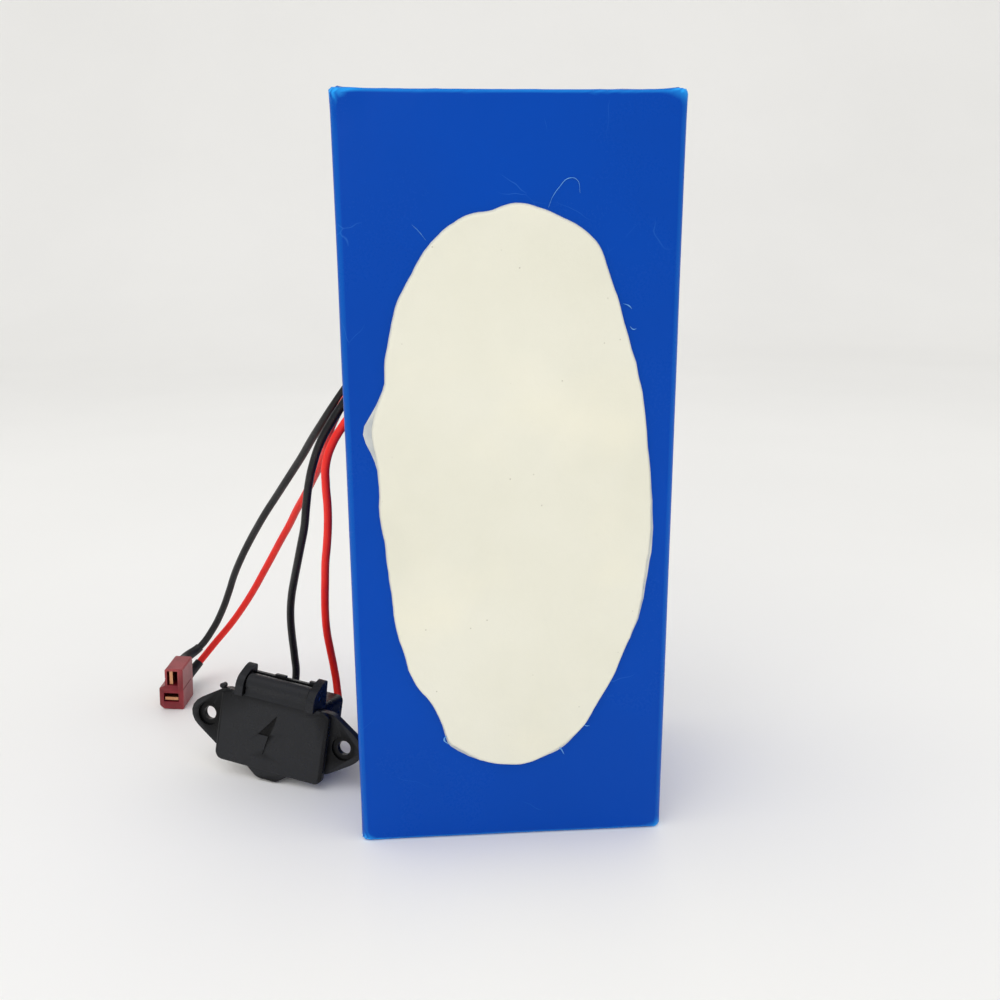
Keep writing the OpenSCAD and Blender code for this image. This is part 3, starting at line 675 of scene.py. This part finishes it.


# The strong pale cyan edge colour is a painted highlight along the film's rounded edges and rims, not wear.
BLUE_FILM = finish_of("blue_film", linear(0, 70, 176), linear(0, 67, 169), 14, 1800, (0.22, 0.32), 0.03,
                      edge=linear(40, 165, 250), edge_wear_and_highlight_amount=1.9, extra=film_scuffs, Specular_IOR_Level=0.09)
settle(wrap_film(), Matrix.Identity(4), BLUE_FILM, "pack", "film", "shrink_wrap", smooth=60)

# %% [markdown]
# ## The glue pad
# A thick pad of cream mounting mastic is pressed on the front. It has a soft rounded rim that
# bulges unevenly, a smeared film of glue that reaches a little further, and a few fine strings
# from where the applicator pulled away. A ring of edges is extruded inwards ring by ring, so
# the rim has close rings for its roundness and the middle has few.

# %% Pad outline
PAD_AT = (-0.35, 103.1)
PAD_HALF = (37.9, 79.5)


def pad_edge(turn, half, power, dents):
    """The pad's edge in X and Z at one turn about its middle."""
    c, s = math.cos(turn), math.sin(turn)
    x = PAD_AT[0] + half[0] * math.copysign(abs(c) ** (2 / power), c)
    z = PAD_AT[1] + half[1] * math.copysign(abs(s) ** (2 / power), s)
    push = 0.3 * noise.noise(Vector((x / 5, z / 5, 4))) + 0.12 * noise.noise(Vector((x, z, 9)) / 1.6)
    for dx, dz, reach, height in dents:
        push += height * math.exp(-(((x - dx) ** 2 + (z - dz) ** 2) / reach ** 2))
    return Vector((x + push * c, FRONT_Y, z + push * s))


def pad_shape(name, half, power, dents, thick, rim, lumps, segments=224):
    """A pad with a rounded rim. thick is its height off the film and rim the width of its slope."""
    rings = (0.0, 0.12, 0.28, 0.5, 0.75, 1.0, 1.3, 1.8, 2.6, 4, 6, 9, 12.5, 16, 20, 24, 28, 31.5, 34.5)
    bm = bmesh.new()
    bmesh.ops.create_circle(bm, segments=segments, radius=1)
    edge = [pad_edge(2 * math.pi * i / segments, half, power, dents) for i in range(segments)]
    turns = {v: round((math.atan2(v.co.y, v.co.x) % (2 * math.pi)) / (2 * math.pi) * segments) % segments
             for v in bm.verts}
    middle = Vector((PAD_AT[0], FRONT_Y, PAD_AT[1]))
    loop = list(bm.edges)
    for ring in rings:
        if ring:
            grown = bmesh.ops.extrude_edge_only(bm, edges=loop)["geom"]
            fresh = {g for g in grown if isinstance(g, bmesh.types.BMVert)}
            loop = [g for g in grown if isinstance(g, bmesh.types.BMEdge) and fresh.issuperset(g.verts)]
            turns = {v: next(turns[e.other_vert(v)] for e in v.link_edges if e.other_vert(v) in turns)
                     for v in fresh}
        share = ring / rings[-1]
        slope = min(ring, 1)
        rise = thick * math.sqrt(max(0, 1 - (1 - slope) ** 2))
        for v, k in turns.items():
            arm = edge[k] - middle
            inward = ring * rim + (arm.length * 0.98 - rings[-1] * rim) * share ** 2
            spot = middle + arm * (1 - inward / arm.length)
            bump = lumps * (noise.noise(spot / 6) + 0.6 * noise.noise(spot / 2.4)) * slope
            v.co = Vector((spot.x, FRONT_Y - rise - bump, spot.z))
    bmesh.ops.pointmerge(bm, verts=list(turns), merge_co=sum((v.co for v in turns), Vector()) / len(turns))
    rim_edges = [e for e in bm.edges if e.is_boundary]
    bmesh.ops.contextual_create(bm, geom=rim_edges)
    bmesh.ops.recalc_face_normals(bm, faces=bm.faces)
    return as_object(name, bm)


# %% Pad: finish
def flat_front(tree, at, turn=True):
    """Object coordinates laid flat on the front face, with x to the right and y up."""
    parts = shader(tree, "ShaderNodeSeparateXYZ", Vector=at)
    return shader(tree, "ShaderNodeCombineXYZ", X=parts.outputs["X"], Y=parts.outputs["Z"]).outputs[0]


def pad_spots(tree, at, looks):
    """Dark pinholes, warm clouds and a faint brushed ripple."""
    front = flat_front(tree, at)
    hole = place_group(tree, PITS, Vector=front, Spacing=74.0, Size=0.02)["Mask"]
    place = shader(tree, "ShaderNodeTexNoise", Vector=front, Scale=58.0, Detail=0.0)
    some = shader(tree, "ShaderNodeMapRange", Value=place.outputs["Fac"], From_Min=0.5, From_Max=0.62, To_Max=0.6)
    hole = math_of(tree, "MULTIPLY", hole, some.outputs[0])
    cloud = shader(tree, "ShaderNodeTexNoise", Vector=at, Scale=26.0, Detail=2.0)
    warm = shader(tree, "ShaderNodeMapRange", Value=cloud.outputs["Fac"], From_Min=0.52, From_Max=0.72, To_Max=0.6)
    looks["color"] = blend_of(tree, warm.outputs[0], looks["color"], linear(240, 236, 216))
    looks["color"] = blend_of(tree, hole, looks["color"], linear(120, 108, 92))
    swell = shader(tree, "ShaderNodeTexNoise", Vector=at, Scale=180.0, Detail=2.0)
    looks["height"] = math_of(tree, "SUBTRACT", math_of(tree, "ADD", looks["height"],
                              math_of(tree, "MULTIPLY", swell.outputs["Fac"], 3.0)),
                              math_of(tree, "MULTIPLY", hole, 4.0))


CREAM_MASTIC = finish_of("cream_mastic", linear(233, 231, 216), linear(227, 225, 208), 20, 1500, (0.45, 0.6),
                         0.04, extra=pad_spots, Specular_IOR_Level=0.3)
GREY_GLUE = finish_of("grey_glue", linear(206, 208, 204), linear(178, 184, 190), 160, 2400, (0.3, 0.5), 0.02)
THIN_GLUE = finish_of("thin_glue", linear(120, 180, 232), linear(60, 140, 222), 700, 2400, (0.25, 0.4), 0.02)

# %% Pad: the shapes
PAD_DENTS = [  # where the edge bulges or draws in: X, Z, how far it reaches and how much
    (38, 92, 18, 1.5), (36, 70, 8, 1.2), (24, 172, 7, 2.6), (17, 178, 6, 0.8), (31, 149, 10, -0.7),
    (-6, 182, 5, -1.3), (-22, 172, 10, 0.6), (-30, 158, 6, 0.8), (-36, 137, 7, -1.4),
    (-39, 124, 6, 0.9), (-37, 111, 9, -1.9), (-37, 92, 12, -2.6), (-36, 75, 11, -2.4),
    (-33, 58, 9, -1.7), (-25, 41, 10, -3.4), (-18, 32, 3, 1.2), (12, 27, 4, -0.5), (25, 43, 6, -0.6),
]
SMEAR_DENTS = PAD_DENTS + [(-40, 123, 5.5, 2.8), (39, 86, 18, 0.7), (-15, 30, 6, 0.8), (14, 28, 6, 0.6)]
pad = pad_shape("mastic_pad", PAD_HALF, 2.14, PAD_DENTS, 1.35, 0.95, 0.12)
settle(pad, Matrix.Identity(4), CREAM_MASTIC, "pack", "mastic", "adhesive_pad", smooth=70)
smear = pad_shape("glue_smear", (PAD_HALF[0] + 0.1, PAD_HALF[1] + 0.1), 2.14, SMEAR_DENTS, 0.16, 0.5, 0.02)
settle(smear, Matrix.Identity(4), GREY_GLUE, "pack", "mastic", smooth=70)


# %% Pad: strings of glue
def tube(knots, round_steps=2):
    """The mesh of a closed tube. Each knot is a place, a radius and, if they aren't automatic, two handles."""
    curve = bpy.data.curves.new("tube", "CURVE")
    curve.dimensions = "3D"
    curve.bevel_depth = 1
    curve.bevel_resolution = round_steps
    curve.resolution_u = 8
    curve.use_fill_caps = True
    spline = curve.splines.new("BEZIER")
    spline.bezier_points.add(len(knots) - 1)
    for knot, (place, radius, *handles) in zip(spline.bezier_points, knots):
        knot.co, knot.radius = place, radius
        knot.handle_left_type = knot.handle_right_type = "FREE" if handles else "AUTO"
        if handles:
            knot.handle_left, knot.handle_right = handles
    made = bpy.data.objects.new("tube", curve)
    bpy.context.scene.collection.objects.link(made)
    graph = bpy.context.evaluated_depsgraph_get()
    graph.update()
    mesh = bpy.data.meshes.new_from_object(made.evaluated_get(graph))
    bpy.data.objects.remove(made)
    return mesh


def string(points, thin):
    """A drawn-out string of glue that lies on the film, thick in its middle."""
    last = len(points) - 1
    return tube([((x, FRONT_Y - 0.1, z), thin * (0.35 + math.sin(math.pi * i / last)))
                 for i, (x, z) in enumerate(points)])


bm = bmesh.new()
for points, thin in (
    ([(9.5, 181.5), (10.5, 184), (12.2, 186.4), (14.6, 188.6), (16.8, 188.2), (17.6, 185)], 0.07),
    ([(-22, 173.5), (-24, 176), (-25.5, 177.4)], 0.05),
    ([(29.5, 157), (31, 156.4), (31.8, 155.6)], 0.12),
    ([(31.4, 151), (32.4, 150.2), (33.2, 150.4)], 0.1),
    ([(20.5, 36), (21.6, 35), (22.6, 35)], 0.12),
    ([(13, 29.5), (14.4, 27.6), (15.2, 26)], 0.14),
    ([(-18.6, 34), (-20, 32.4), (-18.8, 30.8)], 0.2),
):
    bm.from_mesh(string(points, thin))
settle(as_object("glue_strings", bm), Matrix.Identity(4), THIN_GLUE, "pack", "mastic", smooth=80)

# %% [markdown]
# ## The lead exit
# On the left side the film is slit, and the four leads come out through a bead of black
# silicone that keeps them from chafing. A hand-laid bead is never even, so a grid is pushed
# into a dome with rounded corners and a little noise.


# %% Sealant bead
def sealant_bead():
    bm = bmesh.new()
    bmesh.ops.create_cube(bm, size=2)
    bmesh.ops.subdivide_edges(bm, edges=bm.edges[:], cuts=17, use_grid_fill=True)
    for v in bm.verts:
        a, b, c = v.co
        y = 15.5 + 10.4 * b * math.sqrt(1 - 0.30 * c * c)
        z = 126.2 + 10.1 * c * math.sqrt(1 - 0.30 * b * b)
        dome = 1 - 0.30 * (b ** 4 + c ** 4) - 0.15 * (b * b + c * c)
        lump = 0.35 * noise.noise(Vector((y, z, 0)) / 3.2) + 0.2 * noise.noise(Vector((y, z, 9)) / 1.3)
        out = -43.9 - (3.0 * dome + lump) * (1 - a) / 2
        v.co = (out, y, z)
    bmesh.ops.recalc_face_normals(bm, faces=bm.faces)
    return as_object("sealant_bead", bm)


BLACK_SEALANT = finish_of("black_sealant", linear(30, 31, 34), linear(20, 21, 24), 300, 2600, (0.3, 0.5), 0.05)
settle(sealant_bead(), Matrix.Identity(4), BLACK_SEALANT, "pack", "sealant", "lead_exit_seal", smooth=80)

# %% [markdown]
# ## The leads' insulation
# Silicone insulation is soft and slightly matt, with fine dust on it. Both colours share one
# recipe: broad noise makes blotches, and the fine noise is the dust.


# %% Insulation
def dusty(tree, at, looks):
    dust = shader(tree, "ShaderNodeTexNoise", Vector=at, Scale=3200.0, Detail=1.0)
    speck = shader(tree, "ShaderNodeMapRange", Value=dust.outputs["Fac"], From_Min=0.66, From_Max=0.8, To_Max=0.35)
    looks["color"] = blend_of(tree, speck.outputs[0], looks["color"], linear(150, 140, 136))


RED_WIRE = finish_of("red_insulation", linear(255, 44, 32), linear(242, 34, 28), 90, 2500, (0.34, 0.46), 0.02,
                     extra=dusty, Specular_IOR_Level=0.3)
BLACK_WIRE = finish_of("black_insulation", linear(26, 27, 29), linear(17, 18, 20), 90, 2500, (0.34, 0.46), 0.02,
                       extra=dusty, Specular_IOR_Level=0.35)
for name, (piece, _) in leads.items():
    colour = name.split("_")[0]
    piece.data.materials.append(RED_WIRE if colour == "red" else BLACK_WIRE)
    use = "discharge" if name.endswith("plug") else "charge"
    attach(piece, "pack")
    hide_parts(f"{use}_lead_{colour}")

# %% [markdown]
# ## The plug
# The discharge plug is a small nylon moulding with two blades in a T: one upright in a narrow
# upper part, and one lying flat in a wider lower part. An outline is extruded, its slots are
# carved, and its edges are softened, which is how a mould would leave it.

# %% Plug body
PLUG_L, PLUG_TOP = 12, 16.3
PLUG_OUTLINE = [
    (-7.6, 0, 0.5), (0, 0, 0.6), (0, PLUG_TOP, 0.7), (-6.2, PLUG_TOP, 0), (-6.8, PLUG_TOP - 0.6, 0),
    (-6.8, 9.4, 0.3), (-9, 8.4, 0.3), (-9, 1.4, 0.4),
]
plug = as_object("plug_body", prism(PLUG_OUTLINE, 0, PLUG_L, segments=3))
carve(plug, [
    block((-6, -2.1), (-1, PLUG_L - 2), (9.6, 15.3)),
    block((-7.4, -1.9), (-1, PLUG_L - 2), (2.9, 6.4)),
    block((-5.2, -4), (0, PLUG_L + 1), (PLUG_HIGH - 1.5, PLUG_HIGH + 1.5)),
    block((PLUG_U - 1.5, PLUG_U + 1.5), (0, PLUG_L + 1), (PLUG_LOW - 0.6, PLUG_LOW + 0.6)),
    block((-0.18, 1), (-1, 9.5), (7.9, 8.35)),
    block((-7.2, -6.62), (-1, 9.5), (12, 12.45)),
])
soften(plug, 0.2)


def moulded(tree, at, looks):
    """The sparkle of a mould's spark-eroded wall."""
    grain = shader(tree, "ShaderNodeTexVoronoi", Vector=at, Scale=2600.0)
    looks["height"] = math_of(tree, "ADD", looks["height"], math_of(tree, "MULTIPLY", grain.outputs["Distance"], 0.8))


MAROON_NYLON = finish_of("maroon_nylon", linear(128, 26, 38), linear(100, 18, 29), 220, 2200, (0.26, 0.38), 0.02,
                         edge=linear(190, 92, 92), edge_wear_and_highlight_amount=0.6, extra=moulded, Specular_IOR_Level=0.3)
settle(plug, PLUG, MAROON_NYLON, "pack", "plug_nylon", "plug_housing", smooth=35)


# %% Sleeves over the soldered joints
def sleeve(name, place, length, wide, narrow):
    """Heat-shrink tube: wide over the joint and drawn down on the lead at its far end."""
    bm = bmesh.new()
    wall, n = 0.25, length
    outside = [(0, wide), (n * 0.35, wide), (n * 0.5, wide * 0.98), (n * 0.66, (wide + narrow) / 2),
               (n * 0.8, narrow * 1.03), (n, narrow)]
    inside = [(n, narrow - wall), (n * 0.8, narrow - wall), (n * 0.5, wide - wall - 0.1), (0, wide - wall)]
    ring = [bm.verts.new((r, 0, along)) for along, r in outside + inside]
    edges = [bm.edges.new((a, b)) for a, b in zip(ring, ring[1:] + ring[:1])]
    bmesh.ops.spin(bm, geom=ring + edges, cent=(0, 0, 0), axis=(0, 0, 1), angle=2 * math.pi, steps=32,
                   use_merge=True)
    bmesh.ops.remove_doubles(bm, verts=bm.verts, dist=1e-4)
    bmesh.ops.recalc_face_normals(bm, faces=bm.faces)
    for v in bm.verts:
        v.co *= 1 + 0.012 * noise.noise(v.co * 1.7)
    made = as_object(name, bm)
    made.data.transform(place)
    return made


BLACK_SLEEVE = finish_of("black_sleeve", linear(26, 26, 28), linear(18, 18, 20), 350, 2600, (0.4, 0.6), 0.03,
                         edge=linear(70, 70, 74), edge_wear_and_highlight_amount=0.3)
for name, v, wire, node in (("upper_sleeve", PLUG_HIGH, "black_lead_to_plug", "plug_sleeve_upper"),
                            ("lower_sleeve", PLUG_LOW, "red_lead_to_plug", "plug_sleeve_lower")):
    shaft = list(leads[wire][0].data.splines[0].bezier_points)[-3:]
    knots = [(knot.co / MM, radius, knot.handle_left / MM, knot.handle_right / MM)
             for knot, radius in zip(shaft, (1.7, 2.05, 2.3))]
    knots.append((PLUG @ Vector((PLUG_U, PLUG_L - 0.5, v)), 2.3))
    bm = bmesh.new()
    bm.from_mesh(tube(knots, 8))
    bmesh.ops.recalc_face_normals(bm, faces=bm.faces)
    settle(as_object(name, bm), Matrix.Identity(4), BLACK_SLEEVE, "pack", "sleeve", node, smooth=50)
for name, side in (("left_terminal_sleeve", -1), ("right_terminal_sleeve", 1)):
    tab = Matrix.Translation((side * TAB_U, TAB_N, TAB_V)) @ Matrix.Rotation(TAB_LEAN - math.pi / 2, 4, "X")
    made = sleeve(name, tab @ Matrix.Translation((0, 0, 1.3)), 6.5, 2.4, 1.62)
    stands_for = ["port_terminal_sleeves"]
    settle(made, PORT, BLACK_SLEEVE, "pack", "sleeve", *stands_for, smooth=50)

# %% [markdown]
# ## The charging port
# The port is a moulded flange with two ears for screws, a socket in the middle and two posts
# that hold a hinge pin. Union and difference of a few plain solids, then one bevel over all
# sharp edges, is close to how its mould was made.

# %% Port body
HINGE_N, HINGE_V, BARREL_R, POST_U, BODY_N = 0.6, 13.9, 3.1, (11.6, 14.4), 21
EAR_U, HOLE_R, FLANGE_T = 25, 2.25, 2.6
FLANGE = [
    (-36.32, 0, 9.6), (-20, -10.2, 1.5), (20, -10.2, 1.5), (36.32, 0, 9.6), (20, 10.2, 1.5), (-20, 10.2, 1.5),
]
POST = [(-3.6, 9.9, 0), (-3.6, 15.5, 2.6), (2.8, 19.4, 2.0), (4.8, 19.3, 0.8), (5.8, 10, 0), (0.2, 9.6, 0)]
BLADES = ((-TAB_U, TAB_V), (TAB_U, TAB_V), (0, 2))


def socket_outline(w, h):
    """The socket's mouth: a rectangle with its two upper corners cut, so a plug fits one way only."""
    return [(-w / 2, -h / 2, 0.8), (w / 2, -h / 2, 0.8), (w / 2, h / 2 - 4, 0.5), (w / 2 - 4, h / 2, 0.5),
            (4 - w / 2, h / 2, 0.5), (-w / 2, h / 2 - 4, 0.5)]


port = as_object("port_body", prism(FLANGE, 0, FLANGE_T))
carve(port, [
    prism(box_outline(27, 19.6, 2), 0.5, BODY_N),
    prism(POST, *POST_U, along="u"),
    prism(POST, -POST_U[1], -POST_U[0], along="u"),
    block((-POST_U[0] - 0.4, POST_U[0] + 0.4), (4.2, 5.6), (9, 16.7)),
    block((-4.4, -0.6), (4.2, 5.6), (16, 17.3)),
    rod(-21.6, 10.2, 0.6, FLANGE_T, 0.9, 24),
    block((8.2, 11.4), (4.2, 5.6), (16, 17.6)),
], "UNION")
carve(port, [
    bar(-POST_U[0], POST_U[0], HINGE_N, HINGE_V, BARREL_R + 0.4),
    bar(-POST_U[1] - 1, POST_U[1] + 1, HINGE_N, HINGE_V, 0.85),
    prism(socket_outline(24.4, 16.4), -1, 18),
    *(block((u - 1, u + 1), (1, BODY_N + 1), (v - 2, v + 2)) for u, v in BLADES),
    *(rod(side * EAR_U, 0, -1, FLANGE_T + 1, HOLE_R) for side in (-1, 1)),
    *(rod(side * EAR_U, 0, -1, 0.8, 4) for side in (-1, 1)),
])
soften(port, 0.22)

BLACK_PLASTIC = finish_of("black_port_plastic", linear(16, 16, 17), linear(11, 11, 12), 260, 2400, (0.24, 0.36),
                          0.03, edge=linear(66, 67, 70), edge_wear_and_highlight_amount=0.4, extra=moulded, Specular_IOR_Level=0.14)
settle(port, PORT, BLACK_PLASTIC, "pack", "port_plastic", "port_housing", smooth=35)

# %% [markdown]
# ## The lid
# The lid is a plate with a chamfered border, a lip to lift it by and a barrel that turns on the
# pin between the two posts. It rides on its own body, so it swings when the joint does. A
# plain lightning bolt marks it as the charging port. It is cut 0.35 mm deep.

# %% Lid
LID_N, LID_U, BARREL_U = (-2.5, -0.3), 19.7, 11.2
LID_OUTLINE = [(-LID_U, -13.4, 2.6), (LID_U, -13.4, 2.6), (LID_U, 9.2, 0.5), (LID_U - 2.6, 10.8, 0.8),
               (2.6 - LID_U, 10.8, 0.8), (-LID_U, 9.2, 0.5)]
BOLT = [(1.6, 6, 0), (-4.6, -1.6, 0), (-0.8, -1.6, 0), (-2.2, -8, 0), (4.4, 0.2, 0), (0.6, 0.2, 0)]


def chamfered_plate():
    """The lid's plate: its front face is inset and pushed forward, which leaves a sloping border."""
    bm = prism(LID_OUTLINE, LID_N[0] + 0.45, LID_N[1])
    front = min(bm.faces, key=lambda f: f.calc_center_median().y + 10 * abs(f.normal.x) + 10 * abs(f.normal.z))
    bmesh.ops.inset_region(bm, faces=[front], thickness=0.9, depth=0, use_even_offset=True)
    bmesh.ops.translate(bm, verts=front.verts, vec=(0, -0.45, 0))
    return bm


def lip():
    """A thin tab under the plate, drawn in and bent a little to the back."""
    bm = prism([(-7.6, -13.2, 0), (7.6, -13.2, 0), (3.7, -16.4, 1.2), (-3.7, -16.4, 1.2)], LID_N[0] + 0.5, LID_N[1])
    for v in bm.verts:
        if v.co.z < -14:
            v.co.y += 0.25
    return bm


lid = as_object("charging_lid", chamfered_plate())
carve(lid, [
    lip(),
    block((-BARREL_U, BARREL_U), (LID_N[0] + 0.45, LID_N[1]), (9, HINGE_V)),
    bar(-BARREL_U, BARREL_U, HINGE_N, HINGE_V, BARREL_R),
], "UNION")
carve(lid, [
    bar(-BARREL_U - 1, BARREL_U + 1, HINGE_N, HINGE_V, 0.85),
    bar(-4.5, 4.5, HINGE_N, HINGE_V, 2.4),
    block((-4.5, 4.5), (HINGE_N + 0.6, HINGE_N + 4), (HINGE_V - 4, HINGE_V + 4)),
    bar(BARREL_U, POST_U[1] + 0.4, HINGE_N, HINGE_V, 4.6),
    bar(-POST_U[1] - 0.4, -BARREL_U, HINGE_N, HINGE_V, 4.6),
    prism(box_outline(30, 20, 3), -0.9, 1),
    prism(BOLT, LID_N[0] - 1, LID_N[0] + 0.35),
])
soften(lid, 0.16)
settle(lid, PORT, BLACK_PLASTIC, "lid", "port_plastic", "port_lid", smooth=35)

# %% [markdown]
# ## The CAD parts that stay
# The boards, cells, strips, small electronics, blades and hinge parts have the right shape
# already. Each gets the finish of its own material, so an opened or cut-away pack looks right.


# %% Finishes for what is inside
def woven(thread):
    def add(tree, at, looks):
        cloth = place_group(tree, WEAVE, Vector=at, Thread=float(thread))["Height"]
        looks["height"] = math_of(tree, "ADD", looks["height"], math_of(tree, "MULTIPLY", cloth, 1.5))
        looks["roughness"] = math_of(tree, "ADD", looks["roughness"], math_of(tree, "MULTIPLY", cloth, 0.08))
    return add


def brushed(tree, at, looks):
    """Fine scratches: noise stretched a long way in one direction."""
    place = shader(tree, "ShaderNodeMapping", Vector=at)
    place.inputs["Scale"].default_value = (1, 1, 14)
    lines = shader(tree, "ShaderNodeTexNoise", Vector=place.outputs[0], Scale=260.0, Detail=3.0)
    looks["height"] = math_of(tree, "ADD", looks["height"], lines.outputs["Fac"])
    looks["roughness"] = math_of(tree, "ADD", looks["roughness"],
                                 math_of(tree, "MULTIPLY", lines.outputs["Fac"], 0.12))


def inside(name, light, dark, blotches, gloss, bump, extra=None, **sockets):
    return finish_of(name, linear(*light), linear(*dark), blotches, 1800, gloss, bump, extra=extra, **sockets)


FINISHES = {
    "epoxy_board": inside("epoxy_board_green", (74, 122, 84), (58, 104, 70), 60, (0.3, 0.45), 0.03, woven(420)),
    "foam": inside("charcoal_foam", (46, 46, 50), (30, 30, 33), 900, (0.8, 0.95), 0.2),
    "fish_paper": inside("barley_paper", (196, 176, 132), (182, 160, 116), 90, (0.6, 0.8), 0.03, woven(700)),
    "holder_plastic": inside("holder_black", (40, 41, 44), (28, 29, 32), 200, (0.4, 0.55), 0.03, moulded),
    "cell_can": inside("cell_sleeve", (62, 142, 128), (46, 122, 110), 60, (0.25, 0.4), 0.02, film_ripple),
    "nickel": inside("nickel_strip", (206, 204, 198), (184, 182, 176), 120, (0.25, 0.4), 0.02, brushed, Metallic=1.0),
    "circuit_board": inside("solder_mask", (28, 96, 58), (20, 80, 46), 120, (0.25, 0.4), 0.02, woven(520)),
    "black_epoxy": inside("chip_epoxy", (38, 38, 40), (28, 28, 30), 500, (0.5, 0.7), 0.02),
    "aluminium": inside("anodised_aluminium", (196, 198, 202), (172, 174, 180), 120, (0.3, 0.45), 0.02, brushed,
                        Metallic=1.0),
    "shunt_metal": inside("shunt_alloy", (178, 172, 162), (150, 142, 132), 200, (0.3, 0.45), 0.02, brushed,
                          Metallic=1.0),
    "capacitor_ceramic": inside("ceramic_tan", (176, 150, 112), (156, 130, 96), 500, (0.4, 0.55), 0.01),
    "nylon": inside("white_nylon", (236, 234, 226), (224, 221, 210), 200, (0.4, 0.55), 0.02, moulded),
    "white_insulation": inside("white_wire", (232, 232, 230), (216, 216, 212), 200, (0.4, 0.5), 0.01, dusty),
    "red_insulation": RED_WIRE,
    "black_insulation": BLACK_WIRE,
    "contact_brass": inside("copper_blade", (226, 168, 128), (206, 144, 104), 260, (0.22, 0.38), 0.02, brushed,
                            Metallic=1.0),
    "spring_steel": inside("bright_steel", (204, 205, 208), (178, 180, 184), 300, (0.2, 0.35), 0.01, brushed,
                           Metallic=1.0),
    "seal_rubber": inside("seal_rubber", (44, 44, 46), (32, 32, 34), 400, (0.6, 0.8), 0.03, dusty),
}

# %% Give every node that still shows the finish of its slot
CARRIED = {
    "epoxy_board": ["front_board", "rear_board", "side_board_left", "side_board_right", "top_board", "bottom_board"],
    "foam": ["front_foam", "rear_foam", "top_foam", "bottom_foam"],
    "fish_paper": ["front_paper", "rear_paper", "bms_paper"],
    "holder_plastic": ["front_cell_holder", "rear_cell_holder"],
    "cell_can": [f"cell_row_{i:02d}" for i in range(1, 11)],
    "nickel": ["front_nickel_strips", "rear_nickel_strips", "negative_end_strip", "positive_end_strip"],
    "circuit_board": ["bms_board"],
    "black_epoxy": ["bms_transistors", "bms_chips"],
    "aluminium": ["bms_heat_sink"],
    "shunt_metal": ["bms_shunts"],
    "capacitor_ceramic": ["bms_capacitors"],
    "nylon": ["balance_socket", "balance_plug"],
    "white_insulation": ["balance_wires"],
    "black_insulation": ["pack_negative_lead"],
    "red_insulation": ["pack_positive_lead"],
    "contact_brass": ["plug_contact_upper", "plug_contact_lower", "port_pins"],
    "spring_steel": ["port_hinge_pin", "port_spring"],
    "seal_rubber": ["port_seal"],
}
for slot, names in CARRIED.items():
    for name in names:
        for holder in nodes[name].material_slots:
            holder.material = FINISHES[slot]
print(sum(len(names) for names in CARRIED.values()), "CAD nodes keep their shape")

# %% [markdown]
# ## What each lead really is
# Each lead's real length, measured along its route, is printed with its thickness. The lengths
# come from the routes themselves, because all four are in plain sight from end to end.

for name, (piece, length) in leads.items():
    print(name, "is", round(length / MM), "mm of", LEAD_D, "mm wire")

# %% End
print("done")
